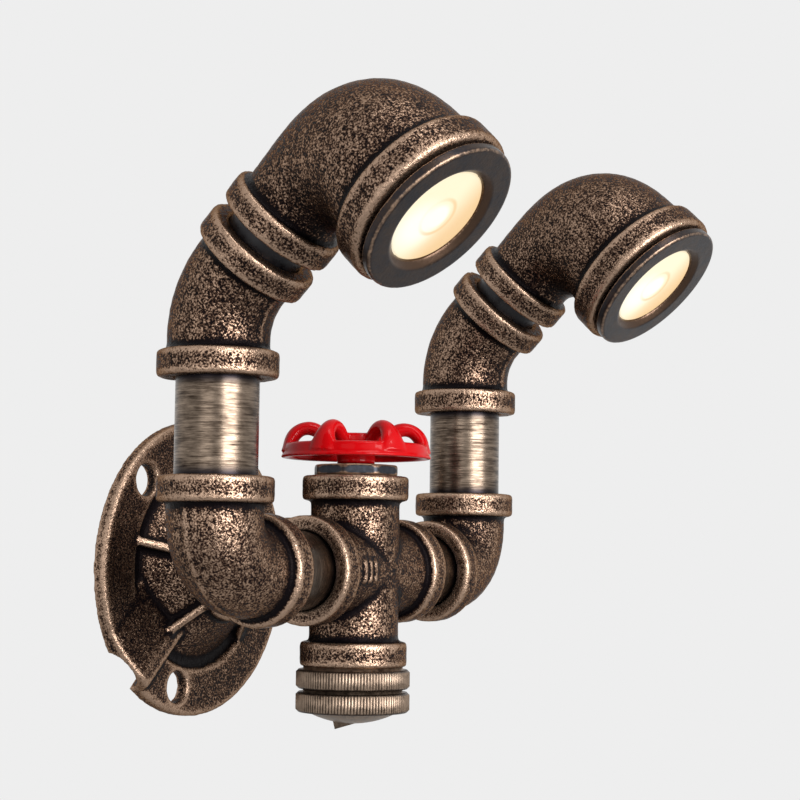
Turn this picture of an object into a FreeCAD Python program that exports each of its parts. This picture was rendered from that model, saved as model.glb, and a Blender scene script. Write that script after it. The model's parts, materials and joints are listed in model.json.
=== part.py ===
import FreeCAD, Part
import math
import os

from FreeCAD import Placement, Rotation, Vector

os.makedirs("parts", exist_ok=True)

# Industrial pipe wall light, in millimetres.
# Origin: centre of the wall flange's back face, on the wall. +X along the pipe run,
# -Y out of the wall, +Z up. "left" is the -X side, "right" the +X side.

X_AXIS = Vector(1, 0, 0)
Y_AXIS = Vector(0, 1, 0)
Z_AXIS = Vector(0, 0, 1)

# --- Driving dimensions -------------------------------------------------------------

# Pipe: three-quarter inch, and how it screws into a socket
PIPE_OD = 26.7
PIPE_WALL = 2.9
THREAD_DEPTH = 12.0           # from a socket's face to the shoulder the pipe stops on
THREAD_GAP = 0.05             # radial, between a pipe and its socket
PIPE_CHAMFER = 0.8

# Layout
RUN_REACH = 73.1              # wall to the axis of the pipe run
RUN_EXPOSED_LEFT = 19.3       # bare pipe between cross and lower elbow
RUN_EXPOSED_RIGHT = 15.2
RISER_EXPOSED = 31.0          # bare pipe between lower and upper elbow
SWIVEL_EXPOSED = 5.0          # black swivel nipple between upper elbow and lamp head
HEAD_TILT = 45.0              # upper elbow, degrees from the riser

# Fittings: body radius, end bands
BODY_R = 15.5
CROSS_BODY_R = 15.6
BAND_R = 18.7
BAND_WIDTH = 8.6
BAND_EDGE = 0.95              # rounding of a band's rims
CROSS_REACH = 33.2            # centre to face
ELBOW_REACH = 29.7            # lower elbow, corner to face
ELBOW_BEND = 17.0
UPPER_BAND_R = 19.5
UPPER_BODY_R = 16.4
UPPER_REACH = 24.6            # upper elbow, corner to face
UPPER_BEND = 30.0
SEAM_WIDTH = 1.2              # casting seam that stands out of the elbows and the cross
SEAM_HEIGHT = 0.3
CAST_BAR_WIDTH = 1.3          # raised size bars on the cross
CAST_BAR_LENGTH = 7.5
CAST_BAR_HEIGHT = 0.6
CAST_BAR_COUNT = 3
CAST_BAR_PITCH = 3.2
CAST_BAR_X = -14.0

# Wall flange
FLANGE_R = 54.0
FLANGE_EDGE = 5.2             # thickness at the rim
FLANGE_ROUND = 0.8
VALLEY_OUTER_R = 37.5
VALLEY_WIDTH = 2.7            # flat floor of the valley
VALLEY_FLOOR = 3.4            # metal left under the valley
HUB_R = 19.0
HUB_HEIGHT = 21.5
HUB_CONE_TOP = 17.5
HUB_EDGE = 1.0
HUB_SHOULDER = 2.0            # wall left under the pipe's end
CONE_FOOT = 3.5               # from the valley's floor in to the mouth of the hollow
RIB_COUNT = 4
RIB_PITCH = 60.0              # degrees from rib to rib
RIB_WIDTH = 3.0
RIB_TOP = 2.6                 # how far a rib stands over the cone
RIB_INTO_RIM = 1.5            # how far a rib runs past the valley
RIB_FIRST_ANGLE = 45.0        # degrees from +X towards +Z; the last rib meets the tunnel
LAND_FIRST_ANGLE = -47.0      # solid land between two pockets
LAND_LAST_ANGLE = -14.0
SCREW_COUNT = 3
SCREW_CIRCLE = 88.8
SCREW_HOLE_R = 5.8
SCREW_FIRST_ANGLE = 15.2
TUNNEL_ANGLE = 223.0          # cable tunnel, from +X towards +Z
TUNNEL_HALF_WIDTH = 8.6
TUNNEL_HEIGHT = 6.9
TUNNEL_WALL = 2.9
TUNNEL_SLOPE = 19.0           # reach of the gentle side over the flange's face
TUNNEL_CREST = 5.0            # width of the flat crest

# Bonnet, valve stem and hand wheel on top of the cross
BONNET_R = 15.4               # over the corners of the octagon
BONNET_SIDES = 8
BONNET_TURN = -73.8           # direction of one corner, degrees from +X
BONNET_HEIGHT = 3.9
BONNET_EDGE = 0.9
BONNET_CORNER = 0.3           # rounded off the octagon's corners
STEM_R = 4.0
STEM_TENON_R = 3.0            # thinner end that carries the wheel
RUNNING_FIT = 0.06            # radial, stem in the bonnet and in the switch
WHEEL_GAP = 0.35              # between bonnet and wheel hub
WHEEL_R = 26.4
WHEEL_HUB_R = 6.7
WHEEL_NECK = 1.9              # hub below the rim
WHEEL_SKIRT = 5.2             # height of the rim
WHEEL_SKIRT_WALL = 2.4
WHEEL_LIP = 0.6
WHEEL_LIP_HEIGHT = 0.8
WHEEL_LIP_SLOPE = 0.5
WHEEL_DRAFT = 0.8             # lean of the rim's outside
WHEEL_ROUND = 0.6             # rounding at the rim's top
WHEEL_FOOT_ROUND = 0.4        # rounding at the rim's inner foot
WHEEL_CREST_R = 17.2
WHEEL_CREST = 12.9            # top of a spoke over the rim's lower edge
WHEEL_HUB_TOP = 8.7           # top of the hub over the rim's lower edge
WHEEL_BOSS_R = 10.4           # wide upper part of the hub
WHEEL_BOSS_FOOT = 2.6         # where the neck starts to widen, over the rim's lower edge
WHEEL_BOSS_FLARE = 3.0
NUT_WELL_GAP = 0.9            # radial room for a socket round the nut
NUT_WELL_DEPTH = 4.0
SPOKE_COUNT = 6
SPOKE_FIRST_ANGLE = 4.2
SPOKE_HALF_WIDTH = 2.7
SPOKE_FOOT_HALF_WIDTH = 5.2
SPOKE_HALF_THICK = 2.4
WHEEL_NUT_SPAN = 8.0          # across flats
WHEEL_NUT_HEIGHT = 3.0
STEM_PROUD = 0.5              # stem end over the nut
WHEEL_WASHER_R = 5.0
WHEEL_WASHER_THICK = 0.8

# Rotary switch that the stem turns, inside the cross
SWITCH_R = 9.6
SWITCH_HEIGHT = 13.0
SWITCH_EDGE = 0.6
STEM_ENTRY = 7.8              # how far the stem reaches into the switch
TERMINAL_COUNT = 3
TERMINAL_CIRCLE_R = 5.8
PIN_WIDTH = 2.0
PIN_THICK = 0.8
PIN_LENGTH = 4.0
PIN_ROOT = 0.5
BLOCK_TOP = 24.0              # terminal block, below the centre of the cross
BLOCK_HEIGHT = 10.0
BLOCK_FIT = 0.05              # radial, in the bottom nipple
BLOCK_WELL_R = 2.0            # screw wells in its underside
BLOCK_WELL_DEPTH = 3.0

# Knurled collar and cap under the cross
KNURL_R = 19.9
KNURL_DEPTH = 0.45
KNURL_TEETH = 112
COLLAR_GAP = 1.0              # between cross and collar
COLLAR_HEIGHT = 6.6
CAP_HEIGHT = 6.9
KNURL_GROOVE = 1.2            # between collar and cap
KNURL_CHAMFER = 0.9
KNURL_NECK_R = 17.4
CAP_WALL = 3.0
DOME_R = 16.0
DOME_DEPTH = 4.0
LUG_OFFSET = 6.0
LUG_DEPTH = 2.6
LUG_LENGTH = 9.5
LUG_WIDTH = 4.0
LUG_TURN = -58.8

# Lamp heads
HEAD_SMALL_REACH = 41.4       # corner of the head elbow to its pipe socket's face
HEAD_BIG_REACH = 39.3         # corner to its lamp socket's face
HEAD_BEND = 30.0
HEAD_NECK_R = 16.6
HEAD_BELLY_R = 26.3
HEAD_BAND_R = 28.6
HEAD_BAND_WIDTH = 10.5
HEAD_BAND_EDGE = 1.4
HEAD_WALL = 3.0
HEAD_STATIONS = 6
HEAD_SWELL = 62.0             # degrees of the bend over which its back swells out
HEAD_HUMP = 1.5               # how far the back then stands over the belly's radius
LAMP_SOCKET_R = 23.6
SWIVEL_FIT = 0.08             # radial running fit of the swivel nipple in the lamp head
SWIVEL_STOP_GAP = 0.35

# Bezel, lens and LED module
BEZEL_R = 26.9
BEZEL_PROUD = 4.6             # front face in front of the lamp socket's face
BEZEL_FLANGE = 3.3
BEZEL_THREAD = 9.0
BEZEL_EDGE = 0.6
BEZEL_BORE_R = 20.6
BEZEL_MOUTH_R = 19.2
BEZEL_LIP_R = 17.1
BEZEL_LIP = 1.5
BEZEL_MOUTH_DEPTH = 1.7
LENS_R = 20.4
LENS_THICK = 2.6
LENS_GASKET = 0.8
REFLECTOR_DEPTH = 9.0
REFLECTOR_WALL = 1.2
REFLECTOR_SEAT_R = 7.0
LED_BOARD_THICK = 1.6
LED_CHIP_R = 5.0
LED_CHIP_THICK = 1.2
SINK_FINS = 12
SINK_CORE_R = 9.0
SINK_FIN_THICK = 1.6
SINK_HEIGHT = 12.0
SINK_PLATE = 2.5

# Leads inside the pipes
LEAD_R = 2.2
LEAD_CLEARANCE = 0.6
LEAD_BEND = 12.0
LEAD_OFFSET = 4.8             # of each riser lead from the middle of the terminal block
LEAD_GAP = 0.6                # between the two leads that meet in the swivel

CUT_OVER = 1.0                # how far a cutting tool runs past the face it opens

# --- Derived values -----------------------------------------------------------------

PIPE_R = PIPE_OD / 2
PIPE_BORE_R = PIPE_R - PIPE_WALL
VALLEY_INNER_R = VALLEY_OUTER_R - (FLANGE_EDGE - VALLEY_FLOOR) - VALLEY_WIDTH
HUB_BACK_R = VALLEY_INNER_R - CONE_FOOT
RIB_OUTER_R = VALLEY_OUTER_R + RIB_INTO_RIM
SOCKET_R = PIPE_R + THREAD_GAP
CROSS_CENTRE = Vector(0, -RUN_REACH, 0)
OUT = Vector(0, -1, 0)
TILT = math.radians(HEAD_TILT)
TILT_UP = Vector(0, -math.sin(TILT), math.cos(TILT))       # along the swivel nipple
TILT_DOWN = Vector(0, -math.cos(TILT), -math.sin(TILT))    # the way a lamp shines
SIDES = {"left": -1, "right": 1}
RUN_EXPOSED = {"left": RUN_EXPOSED_LEFT, "right": RUN_EXPOSED_RIGHT}
UPPER_CORNER_Z = ELBOW_REACH + RISER_EXPOSED + UPPER_REACH
HEAD_OFFSET = UPPER_REACH + SWIVEL_EXPOSED + HEAD_SMALL_REACH
WHEEL_BASE_Z = CROSS_REACH + BONNET_HEIGHT + WHEEL_GAP + WHEEL_NECK
COLLAR_TOP_Z = -CROSS_REACH - COLLAR_GAP
CAP_TOP_Z = COLLAR_TOP_Z - COLLAR_HEIGHT - KNURL_GROOVE
CAP_BOTTOM_Z = CAP_TOP_Z - CAP_HEIGHT


def column_x(side):
    """X of the left or right riser."""
    return SIDES[side] * (CROSS_REACH + RUN_EXPOSED[side] + ELBOW_REACH)


def lower_corner(side):
    return Vector(column_x(side), -RUN_REACH, 0)


def upper_corner(side):
    return Vector(column_x(side), -RUN_REACH, UPPER_CORNER_Z)


def head_corner(side):
    return upper_corner(side) + TILT_UP * HEAD_OFFSET


# --- Shape helpers ------------------------------------------------------------------

def rod(radius, length, base, direction):
    return Part.makeCylinder(radius, length, base, direction)


def round_rims(shape, edge):
    """Round every circular edge of a turned shape."""
    rims = [e for e in shape.Edges if isinstance(e.Curve, Part.Circle)]
    return shape.makeFillet(edge, rims)


def band(radius, width, edge, face, inward):
    """Thick end ring of a fitting, from its open face inwards."""
    return round_rims(rod(radius, width, face, inward), edge)


def aim(shape, base, direction):
    """Move a shape made along +Z at the origin to a base point and direction."""
    placed = shape.copy()
    placed.Placement = Placement(base, Rotation(Z_AXIS, direction)).multiply(placed.Placement)
    return placed


def turned(points):
    """Solid of revolution about +Z from a closed (radius, height) outline."""
    corners = [Vector(r, 0, z) for r, z in points]
    outline = Part.makePolygon(corners + corners[:1])
    return Part.Face(outline).revolve(Vector(0, 0, 0), Z_AXIS, 360)


def round_bar(points, bend, radius):
    """Round bar through a row of points, with an arc of one radius at every corner."""
    solids = []
    start = points[0]
    for before, corner, after in zip(points, points[1:], points[2:]):
        back = (before - corner).normalize()
        onward = (after - corner).normalize()
        turn = math.pi - back.getAngle(onward)
        tangent = bend * math.tan(turn / 2)
        arc_start = corner + back * tangent
        centre = corner + (back + onward).normalize() * (bend / math.cos(turn / 2))
        disc = Part.Face(Part.Wire(Part.makeCircle(radius, arc_start, back)))
        hinge = (back * -1).cross(onward).normalize()
        solids.append(rod(radius, (arc_start - start).Length, start, back * -1))
        solids.append(disc.revolve(centre, hinge, math.degrees(turn)))
        start = corner + onward * tangent
    last = points[-1] - start
    solids.append(rod(radius, last.Length, start, last))
    return solids[0].fuse(solids[1:]).removeSplitter()


def bent_rod(corner, to_a, to_b, reach_a, reach_b, bend, radius):
    """Round bar with one bend: leg a, an arc round the corner, leg b."""
    return round_bar([corner + to_a * reach_a, corner, corner + to_b * reach_b], bend, radius)


def circle_wire(centre, normal, side, radius):
    """Closed round section whose seam lies along side, so that a loft doesn't twist."""
    ring = Part.makeCircle(radius)
    ring.Placement = Placement(centre, Rotation(side, normal.cross(side), normal))
    return Part.Wire(ring)


def ellipse_wire(centre, normal, side, half_width, half_thick):
    """Closed oval section: half_width along side, half_thick across it."""
    across = normal.cross(side).normalize()
    if half_width > half_thick:
        oval = Part.Ellipse(centre + side * half_width, centre + across * half_thick, centre)
    else:
        oval = Part.Ellipse(centre + across * half_thick, centre + side * half_width, centre)
    return Part.Wire(oval.toShape())


def plan_dir(degrees):
    """Unit vector in the floor plane, from +X towards +Y."""
    return Vector(math.cos(math.radians(degrees)), math.sin(math.radians(degrees)), 0)


def slab(length, width, height, base, along, up):
    """Box from base: length runs along, width is centred, height runs up."""
    across = up.cross(along).normalize()
    corners = [
        base + across * (width / 2),
        base + across * (width / 2) + along * length,
        base - across * (width / 2) + along * length,
        base - across * (width / 2),
    ]
    return Part.Face(Part.makePolygon(corners + corners[:1])).extrude(up * height)


def save(name, shape):
    """Write one node; every node is one valid solid or a group of them."""
    if not shape.isValid() or not shape.Solids:
        raise RuntimeError(name + " is not a valid solid")
    shape.exportStep("parts/" + name + ".step")
    low = shape.BoundBox
    print(name, len(shape.Solids), round(shape.Volume, 1),
          [round(v, 1) for v in (low.XMin, low.YMin, low.ZMin, low.XMax, low.YMax, low.ZMax)])


# --- Pipes --------------------------------------------------------------------------

def pipe(base, direction, length, outer_r=PIPE_R, bore_r=PIPE_BORE_R):
    """Straight pipe or nipple with chamfered ends."""
    blank = turned([
        (bore_r, 0),
        (outer_r - PIPE_CHAMFER, 0),
        (outer_r, PIPE_CHAMFER),
        (outer_r, length - PIPE_CHAMFER),
        (outer_r - PIPE_CHAMFER, length),
        (bore_r, length),
    ])
    return aim(blank, base, direction)


def run_nipple(side):
    start = CROSS_CENTRE + X_AXIS * (SIDES[side] * (CROSS_REACH - THREAD_DEPTH))
    return pipe(start, X_AXIS * SIDES[side], RUN_EXPOSED[side] + 2 * THREAD_DEPTH)


def riser_pipe(side):
    start = lower_corner(side) + Z_AXIS * (ELBOW_REACH - THREAD_DEPTH)
    return pipe(start, Z_AXIS, RISER_EXPOSED + 2 * THREAD_DEPTH)


def flange_nipple():
    start = OUT * (HUB_HEIGHT - THREAD_DEPTH)
    return pipe(start, OUT, RUN_REACH - CROSS_REACH - HUB_HEIGHT + 2 * THREAD_DEPTH)


def swivel_nipple(side):
    """Black nipple: fast in the upper elbow, and the lamp head turns on it."""
    start = upper_corner(side) + TILT_UP * (UPPER_REACH - THREAD_DEPTH)
    length = SWIVEL_EXPOSED + 2 * THREAD_DEPTH - SWIVEL_STOP_GAP
    return pipe(start, TILT_UP, length)


# --- Cast fittings ------------------------------------------------------------------

def socket_cut(face, inward):
    return rod(SOCKET_R, THREAD_DEPTH, face, inward)


def lower_elbow(side):
    """Ninety-degree elbow from the run up into the riser, cast alike for both sides."""
    corner = Vector(0, 0, 0)
    run_face = X_AXIS * ELBOW_REACH
    riser_face = Z_AXIS * ELBOW_REACH
    body = bent_rod(corner, X_AXIS, Z_AXIS, ELBOW_REACH, ELBOW_REACH, ELBOW_BEND, BODY_R)
    seam = seam_ridge(corner, X_AXIS, Z_AXIS, ELBOW_REACH, ELBOW_BEND, BODY_R)
    bands = [band(BAND_R, BAND_WIDTH, BAND_EDGE, run_face, X_AXIS * -1),
             band(BAND_R, BAND_WIDTH, BAND_EDGE, riser_face, Z_AXIS * -1)]
    bore = bent_rod(corner, X_AXIS, Z_AXIS, ELBOW_REACH, ELBOW_REACH, ELBOW_BEND, PIPE_BORE_R)
    cuts = [bore, socket_cut(run_face, X_AXIS * -1), socket_cut(riser_face, Z_AXIS * -1)]
    casting = body.fuse(bands + [seam]).cut(cuts).removeSplitter()
    half_turn = 90 + 90 * SIDES[side]
    casting.Placement = Placement(lower_corner(side), Rotation(Z_AXIS, half_turn))
    return casting


def seam_ridge(corner, to_a, to_b, reach, bend, body_r):
    """Flat flash rib that follows a bend in its own plane."""
    proud = bent_rod(corner, to_a, to_b, reach - BAND_EDGE, reach - BAND_EDGE, bend,
                     body_r + SEAM_HEIGHT)
    across = to_a.cross(to_b).normalize()
    half = body_r + reach
    sheet = slab(4 * half, SEAM_WIDTH, 4 * half,
                 corner - to_a * (2 * half) - to_a.cross(across).normalize() * (2 * half),
                 to_a, to_a.cross(across).normalize())
    return proud.common(sheet)


def upper_elbow(side):
    """Forty-five-degree elbow that tips the lamp head out of the wall."""
    corner = upper_corner(side)
    down = Z_AXIS * -1
    riser_face = corner + down * UPPER_REACH
    head_face = corner + TILT_UP * UPPER_REACH
    body = bent_rod(corner, down, TILT_UP, UPPER_REACH, UPPER_REACH, UPPER_BEND, UPPER_BODY_R)
    seam = seam_ridge(corner, down, TILT_UP, UPPER_REACH, UPPER_BEND, UPPER_BODY_R)
    bands = [band(UPPER_BAND_R, BAND_WIDTH, BAND_EDGE, riser_face, Z_AXIS),
             band(UPPER_BAND_R, BAND_WIDTH, BAND_EDGE, head_face, TILT_UP * -1)]
    bore = bent_rod(corner, down, TILT_UP, UPPER_REACH, UPPER_REACH, UPPER_BEND, PIPE_BORE_R)
    cuts = [bore, socket_cut(riser_face, Z_AXIS), socket_cut(head_face, TILT_UP * -1)]
    return body.fuse(bands + [seam]).cut(cuts).removeSplitter()


def cross_outlets():
    return [X_AXIS, X_AXIS * -1, Z_AXIS, Z_AXIS * -1, Y_AXIS]


def centre_cross():
    """Five-way cross: run left and right, wheel on top, cap below, flange behind."""
    blank = rod(CROSS_BODY_R, CROSS_REACH, CROSS_CENTRE, Y_AXIS)
    solids = []
    cuts = []
    for outlet in cross_outlets():
        face = CROSS_CENTRE + outlet * CROSS_REACH
        solids.append(rod(CROSS_BODY_R, CROSS_REACH, CROSS_CENTRE, outlet))
        solids.append(band(BAND_R, BAND_WIDTH, BAND_EDGE, face, outlet * -1))
        cuts.append(rod(PIPE_BORE_R, CROSS_REACH, CROSS_CENTRE, outlet))
        cuts.append(socket_cut(face, outlet * -1))
    solids.append(Part.makeSphere(CROSS_BODY_R, CROSS_CENTRE))
    solids.extend(size_bars())
    return blank.fuse(solids).cut(cuts).removeSplitter()


def size_bars():
    """Plain raised bars on the front of the cross, where castings carry their size."""
    sunk = 1.0
    bars = []
    for index in range(CAST_BAR_COUNT):
        spot = CAST_BAR_X + (index - (CAST_BAR_COUNT - 1) / 2) * CAST_BAR_PITCH
        base = Vector(spot, -RUN_REACH - CROSS_BODY_R + sunk, -CAST_BAR_LENGTH / 2)
        bars.append(slab(CAST_BAR_LENGTH, CAST_BAR_WIDTH, CAST_BAR_HEIGHT + sunk, base, Z_AXIS, OUT))
    return bars


# --- Wall flange --------------------------------------------------------------------

def flange_disc():
    """Turned body of the flange: rim, valley, cone and hub."""
    return turned([
        (0, 0),
        (FLANGE_R, 0),
        (FLANGE_R, FLANGE_EDGE - FLANGE_ROUND),
        (FLANGE_R - FLANGE_ROUND, FLANGE_EDGE),
        (VALLEY_OUTER_R, FLANGE_EDGE),
        (VALLEY_OUTER_R - (FLANGE_EDGE - VALLEY_FLOOR), VALLEY_FLOOR),
        (VALLEY_INNER_R, VALLEY_FLOOR),
        (HUB_R, HUB_CONE_TOP),
        (HUB_R, HUB_HEIGHT - HUB_EDGE),
        (HUB_R - HUB_EDGE, HUB_HEIGHT),
        (0, HUB_HEIGHT),
    ])


def flange_hollow():
    """Wire space behind the cone, up to the pipe socket."""
    neck_z = HUB_HEIGHT - THREAD_DEPTH
    return turned([
        (0, -CUT_OVER),
        (HUB_BACK_R, -CUT_OVER),
        (HUB_BACK_R, 0),
        (PIPE_BORE_R, neck_z - HUB_SHOULDER),
        (PIPE_BORE_R, neck_z),
        (SOCKET_R, neck_z),
        (SOCKET_R, HUB_HEIGHT + CUT_OVER),
        (0, HUB_HEIGHT + CUT_OVER),
    ])


def tunnel_channel():
    """Half-oval way for a cable along local +X, open to the wall."""
    start = Vector(PIPE_BORE_R, 0, 0)
    oval = Part.Ellipse(start + Y_AXIS * TUNNEL_HALF_WIDTH, start + Z_AXIS * TUNNEL_HEIGHT, start)
    reach = FLANGE_R + CUT_OVER - PIPE_BORE_R
    bar = Part.Face(Part.Wire(oval.toShape())).extrude(X_AXIS * reach)
    above = Part.makeBox(reach, 2 * TUNNEL_HALF_WIDTH, TUNNEL_HEIGHT,
                         start - Y_AXIS * TUNNEL_HALF_WIDTH)
    below = Part.makeBox(reach, 2 * TUNNEL_HALF_WIDTH, CUT_OVER,
                         start - Y_AXIS * TUNNEL_HALF_WIDTH - Z_AXIS * CUT_OVER)
    return bar.common(above).fuse(below)


def tunnel_roof():
    """Raised cover of the cable way: a gentle side, a crest and a steep side."""
    crest_z = TUNNEL_HEIGHT + TUNNEL_WALL
    steep = TUNNEL_HALF_WIDTH + TUNNEL_WALL / 2
    start = X_AXIS * (HUB_R - HUB_EDGE)
    corners = [
        start + Vector(0, -TUNNEL_SLOPE, FLANGE_EDGE - FLANGE_ROUND),
        start + Vector(0, steep - TUNNEL_CREST - TUNNEL_WALL, crest_z),
        start + Vector(0, steep - TUNNEL_WALL, crest_z),
        start + Vector(0, steep, FLANGE_EDGE),
        start + Vector(0, steep, 0),
        start + Vector(0, -TUNNEL_SLOPE, 0),
    ]
    roof = Part.Face(Part.makePolygon(corners + corners[:1])).extrude(X_AXIS * FLANGE_R)
    return roof.common(rod(FLANGE_R, HUB_HEIGHT, Vector(0, 0, 0), Z_AXIS))


def spin_flat(shape, degrees):
    """Turn a flat-built flange piece about the flange axis."""
    turned_copy = shape.copy()
    turned_copy.rotate(Vector(0, 0, 0), Z_AXIS, degrees)
    return turned_copy


def flange_rib(degrees):
    """Thin radial web over the valley and the cone."""
    foot = VALLEY_FLOOR - FLANGE_ROUND
    outline = Part.makePolygon([
        Vector(HUB_R - HUB_EDGE, 0, foot),
        Vector(RIB_OUTER_R, 0, foot),
        Vector(RIB_OUTER_R, 0, FLANGE_EDGE),
        Vector(HUB_R - HUB_EDGE, 0, HUB_CONE_TOP + RIB_TOP),
        Vector(HUB_R - HUB_EDGE, 0, foot),
    ])
    web = Part.Face(outline).extrude(Y_AXIS * RIB_WIDTH)
    web.translate(Y_AXIS * (-RIB_WIDTH / 2))
    return spin_flat(web, degrees)


def flange_land():
    """Stretch with no pocket, as high as the rim."""
    spread = LAND_LAST_ANGLE - LAND_FIRST_ANGLE
    outline = Part.makePolygon([
        Vector(HUB_R - HUB_EDGE, 0, 0),
        Vector(VALLEY_OUTER_R, 0, 0),
        Vector(VALLEY_OUTER_R, 0, FLANGE_EDGE),
        Vector(HUB_R - HUB_EDGE, 0, HUB_CONE_TOP + RIB_TOP),
        Vector(HUB_R - HUB_EDGE, 0, 0),
    ])
    return spin_flat(Part.Face(outline).revolve(Vector(0, 0, 0), Z_AXIS, spread), LAND_FIRST_ANGLE)


def wall_flange():
    """Built face up along +Z, then laid against the wall."""
    solids = [spin_flat(tunnel_roof(), TUNNEL_ANGLE), flange_land()]
    for index in range(RIB_COUNT):
        solids.append(flange_rib(RIB_FIRST_ANGLE + index * RIB_PITCH))
    cuts = [flange_hollow(), spin_flat(tunnel_channel(), TUNNEL_ANGLE)]
    for index in range(SCREW_COUNT):
        spot = SCREW_FIRST_ANGLE + index * 360 / SCREW_COUNT
        foot = plan_dir(spot) * (SCREW_CIRCLE / 2) - Z_AXIS * CUT_OVER
        cuts.append(rod(SCREW_HOLE_R, HUB_HEIGHT, foot, Z_AXIS))
    casting = flange_disc().fuse(solids).cut(cuts).removeSplitter()
    # local +Z becomes -Y (out of the wall); local +Y becomes +Z (up)
    casting.Placement = Placement(Vector(0, 0, 0), Rotation(X_AXIS, 90))
    return casting


# --- Bonnet, stem, wheel ------------------------------------------------------------

def regular_prism(sides, corner_r, height, base, first_angle):
    corners = [base + plan_dir(first_angle + index * 360 / sides) * corner_r
               for index in range(sides)]
    return Part.Face(Part.makePolygon(corners + corners[:1])).extrude(Z_AXIS * height)


def bonnet_bushing():
    """Octagonal plug screwed into the top of the cross, bored for the stem."""
    seat = CROSS_CENTRE + Z_AXIS * CROSS_REACH
    head = regular_prism(BONNET_SIDES, BONNET_R, BONNET_HEIGHT, seat, BONNET_TURN)
    crown = round_rims(rod(BONNET_R - BONNET_CORNER, 2 * BONNET_HEIGHT,
                           seat - Z_AXIS * BONNET_HEIGHT, Z_AXIS), BONNET_EDGE)
    plug = rod(PIPE_R, THREAD_DEPTH, seat - Z_AXIS * THREAD_DEPTH, Z_AXIS)
    bore = rod(STEM_R + RUNNING_FIT, THREAD_DEPTH + BONNET_HEIGHT,
               seat - Z_AXIS * THREAD_DEPTH, Z_AXIS)
    return head.common(crown).fuse(plug).cut(bore).removeSplitter()


def switch_base_z():
    return CROSS_REACH - THREAD_DEPTH - SWITCH_HEIGHT


def terminal_dir(index):
    return plan_dir(index * 360 / TERMINAL_COUNT)


def rotary_switch():
    """Switch body screwed under the bonnet, with its terminals below."""
    base = CROSS_CENTRE + Z_AXIS * switch_base_z()
    body = round_rims(rod(SWITCH_R, SWITCH_HEIGHT, base, Z_AXIS), SWITCH_EDGE)
    pins = []
    for index in range(TERMINAL_COUNT):
        spot = base + terminal_dir(index) * TERMINAL_CIRCLE_R
        corner = spot - X_AXIS * (PIN_WIDTH / 2) - Z_AXIS * PIN_LENGTH
        pins.append(slab(PIN_WIDTH, PIN_THICK, PIN_LENGTH + PIN_ROOT, corner, X_AXIS, Z_AXIS))
    well_depth = STEM_ENTRY + RUNNING_FIT
    well = rod(STEM_R + RUNNING_FIT, well_depth,
               base + Z_AXIS * (SWITCH_HEIGHT - well_depth), Z_AXIS)
    return body.fuse(pins).cut(well).removeSplitter()


def nut_seat_z():
    """Floor of the well in the hub, where washer and nut sit."""
    return WHEEL_BASE_Z + WHEEL_HUB_TOP - NUT_WELL_DEPTH


def nut_corner_r():
    return WHEEL_NUT_SPAN / 2 / math.cos(math.pi / 6)


def valve_stem():
    """Shaft from the switch up through the bonnet and the wheel's hub."""
    low = CROSS_REACH - THREAD_DEPTH - STEM_ENTRY
    high = nut_seat_z() + WHEEL_WASHER_THICK + WHEEL_NUT_HEIGHT + STEM_PROUD
    stem = rod(STEM_R, WHEEL_BASE_Z - WHEEL_NECK - low, CROSS_CENTRE + Z_AXIS * low, Z_AXIS)
    tenon = rod(STEM_TENON_R, high - low, CROSS_CENTRE + Z_AXIS * low, Z_AXIS)
    return stem.fuse(tenon).removeSplitter()


def wheel_spoke(degrees):
    """Arched spoke from the rim over the crest down to the hub."""
    outward = plan_dir(degrees)
    side = plan_dir(degrees + 90)
    base = CROSS_CENTRE + Z_AXIS * WHEEL_BASE_Z
    rim_r = WHEEL_R - WHEEL_SKIRT_WALL
    top = WHEEL_CREST - SPOKE_HALF_THICK
    drop = WHEEL_CREST_R - WHEEL_BOSS_R
    stations = [
        (rim_r + 0.2, WHEEL_SKIRT * 0.4, 0, SPOKE_FOOT_HALF_WIDTH),
        (rim_r - 1.0, WHEEL_SKIRT + 0.8, 25, SPOKE_FOOT_HALF_WIDTH * 0.8),
        (WHEEL_CREST_R + 3.5, top - 1.3, 52, SPOKE_HALF_WIDTH * 1.1),
        (WHEEL_CREST_R, top, 90, SPOKE_HALF_WIDTH),
        (WHEEL_CREST_R - drop * 0.6, top - 1.3, 122, SPOKE_HALF_WIDTH),
        (WHEEL_BOSS_R - 0.8, WHEEL_HUB_TOP - SPOKE_HALF_THICK, 128, SPOKE_HALF_WIDTH),
    ]
    wires = []
    for radius, height, lean, half_width in stations:
        lean_rad = math.radians(lean)
        tangent = Z_AXIS * math.cos(lean_rad) - outward * math.sin(lean_rad)
        centre = base + outward * radius + Z_AXIS * height
        wires.append(ellipse_wire(centre, tangent, side, half_width, SPOKE_HALF_THICK))
    return Part.makeLoft(wires, True, False)


def wheel_rim():
    """Skirt of the wheel with a small lip at its lower edge."""
    inner = WHEEL_R - WHEEL_SKIRT_WALL
    shoulder = WHEEL_R - WHEEL_LIP
    skirt = turned([
        (inner - WHEEL_FOOT_ROUND, WHEEL_FOOT_ROUND),
        (inner, 0),
        (WHEEL_R, 0),
        (WHEEL_R, WHEEL_LIP_HEIGHT),
        (shoulder, WHEEL_LIP_HEIGHT + WHEEL_LIP_SLOPE),
        (shoulder - WHEEL_DRAFT, WHEEL_SKIRT - WHEEL_ROUND),
        (shoulder - 2 * WHEEL_DRAFT, WHEEL_SKIRT),
        (inner - WHEEL_FOOT_ROUND, WHEEL_SKIRT),
        (inner - WHEEL_FOOT_ROUND - WHEEL_ROUND, WHEEL_SKIRT - WHEEL_ROUND),
    ])
    return aim(skirt, CROSS_CENTRE + Z_AXIS * WHEEL_BASE_Z, Z_AXIS)


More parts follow.
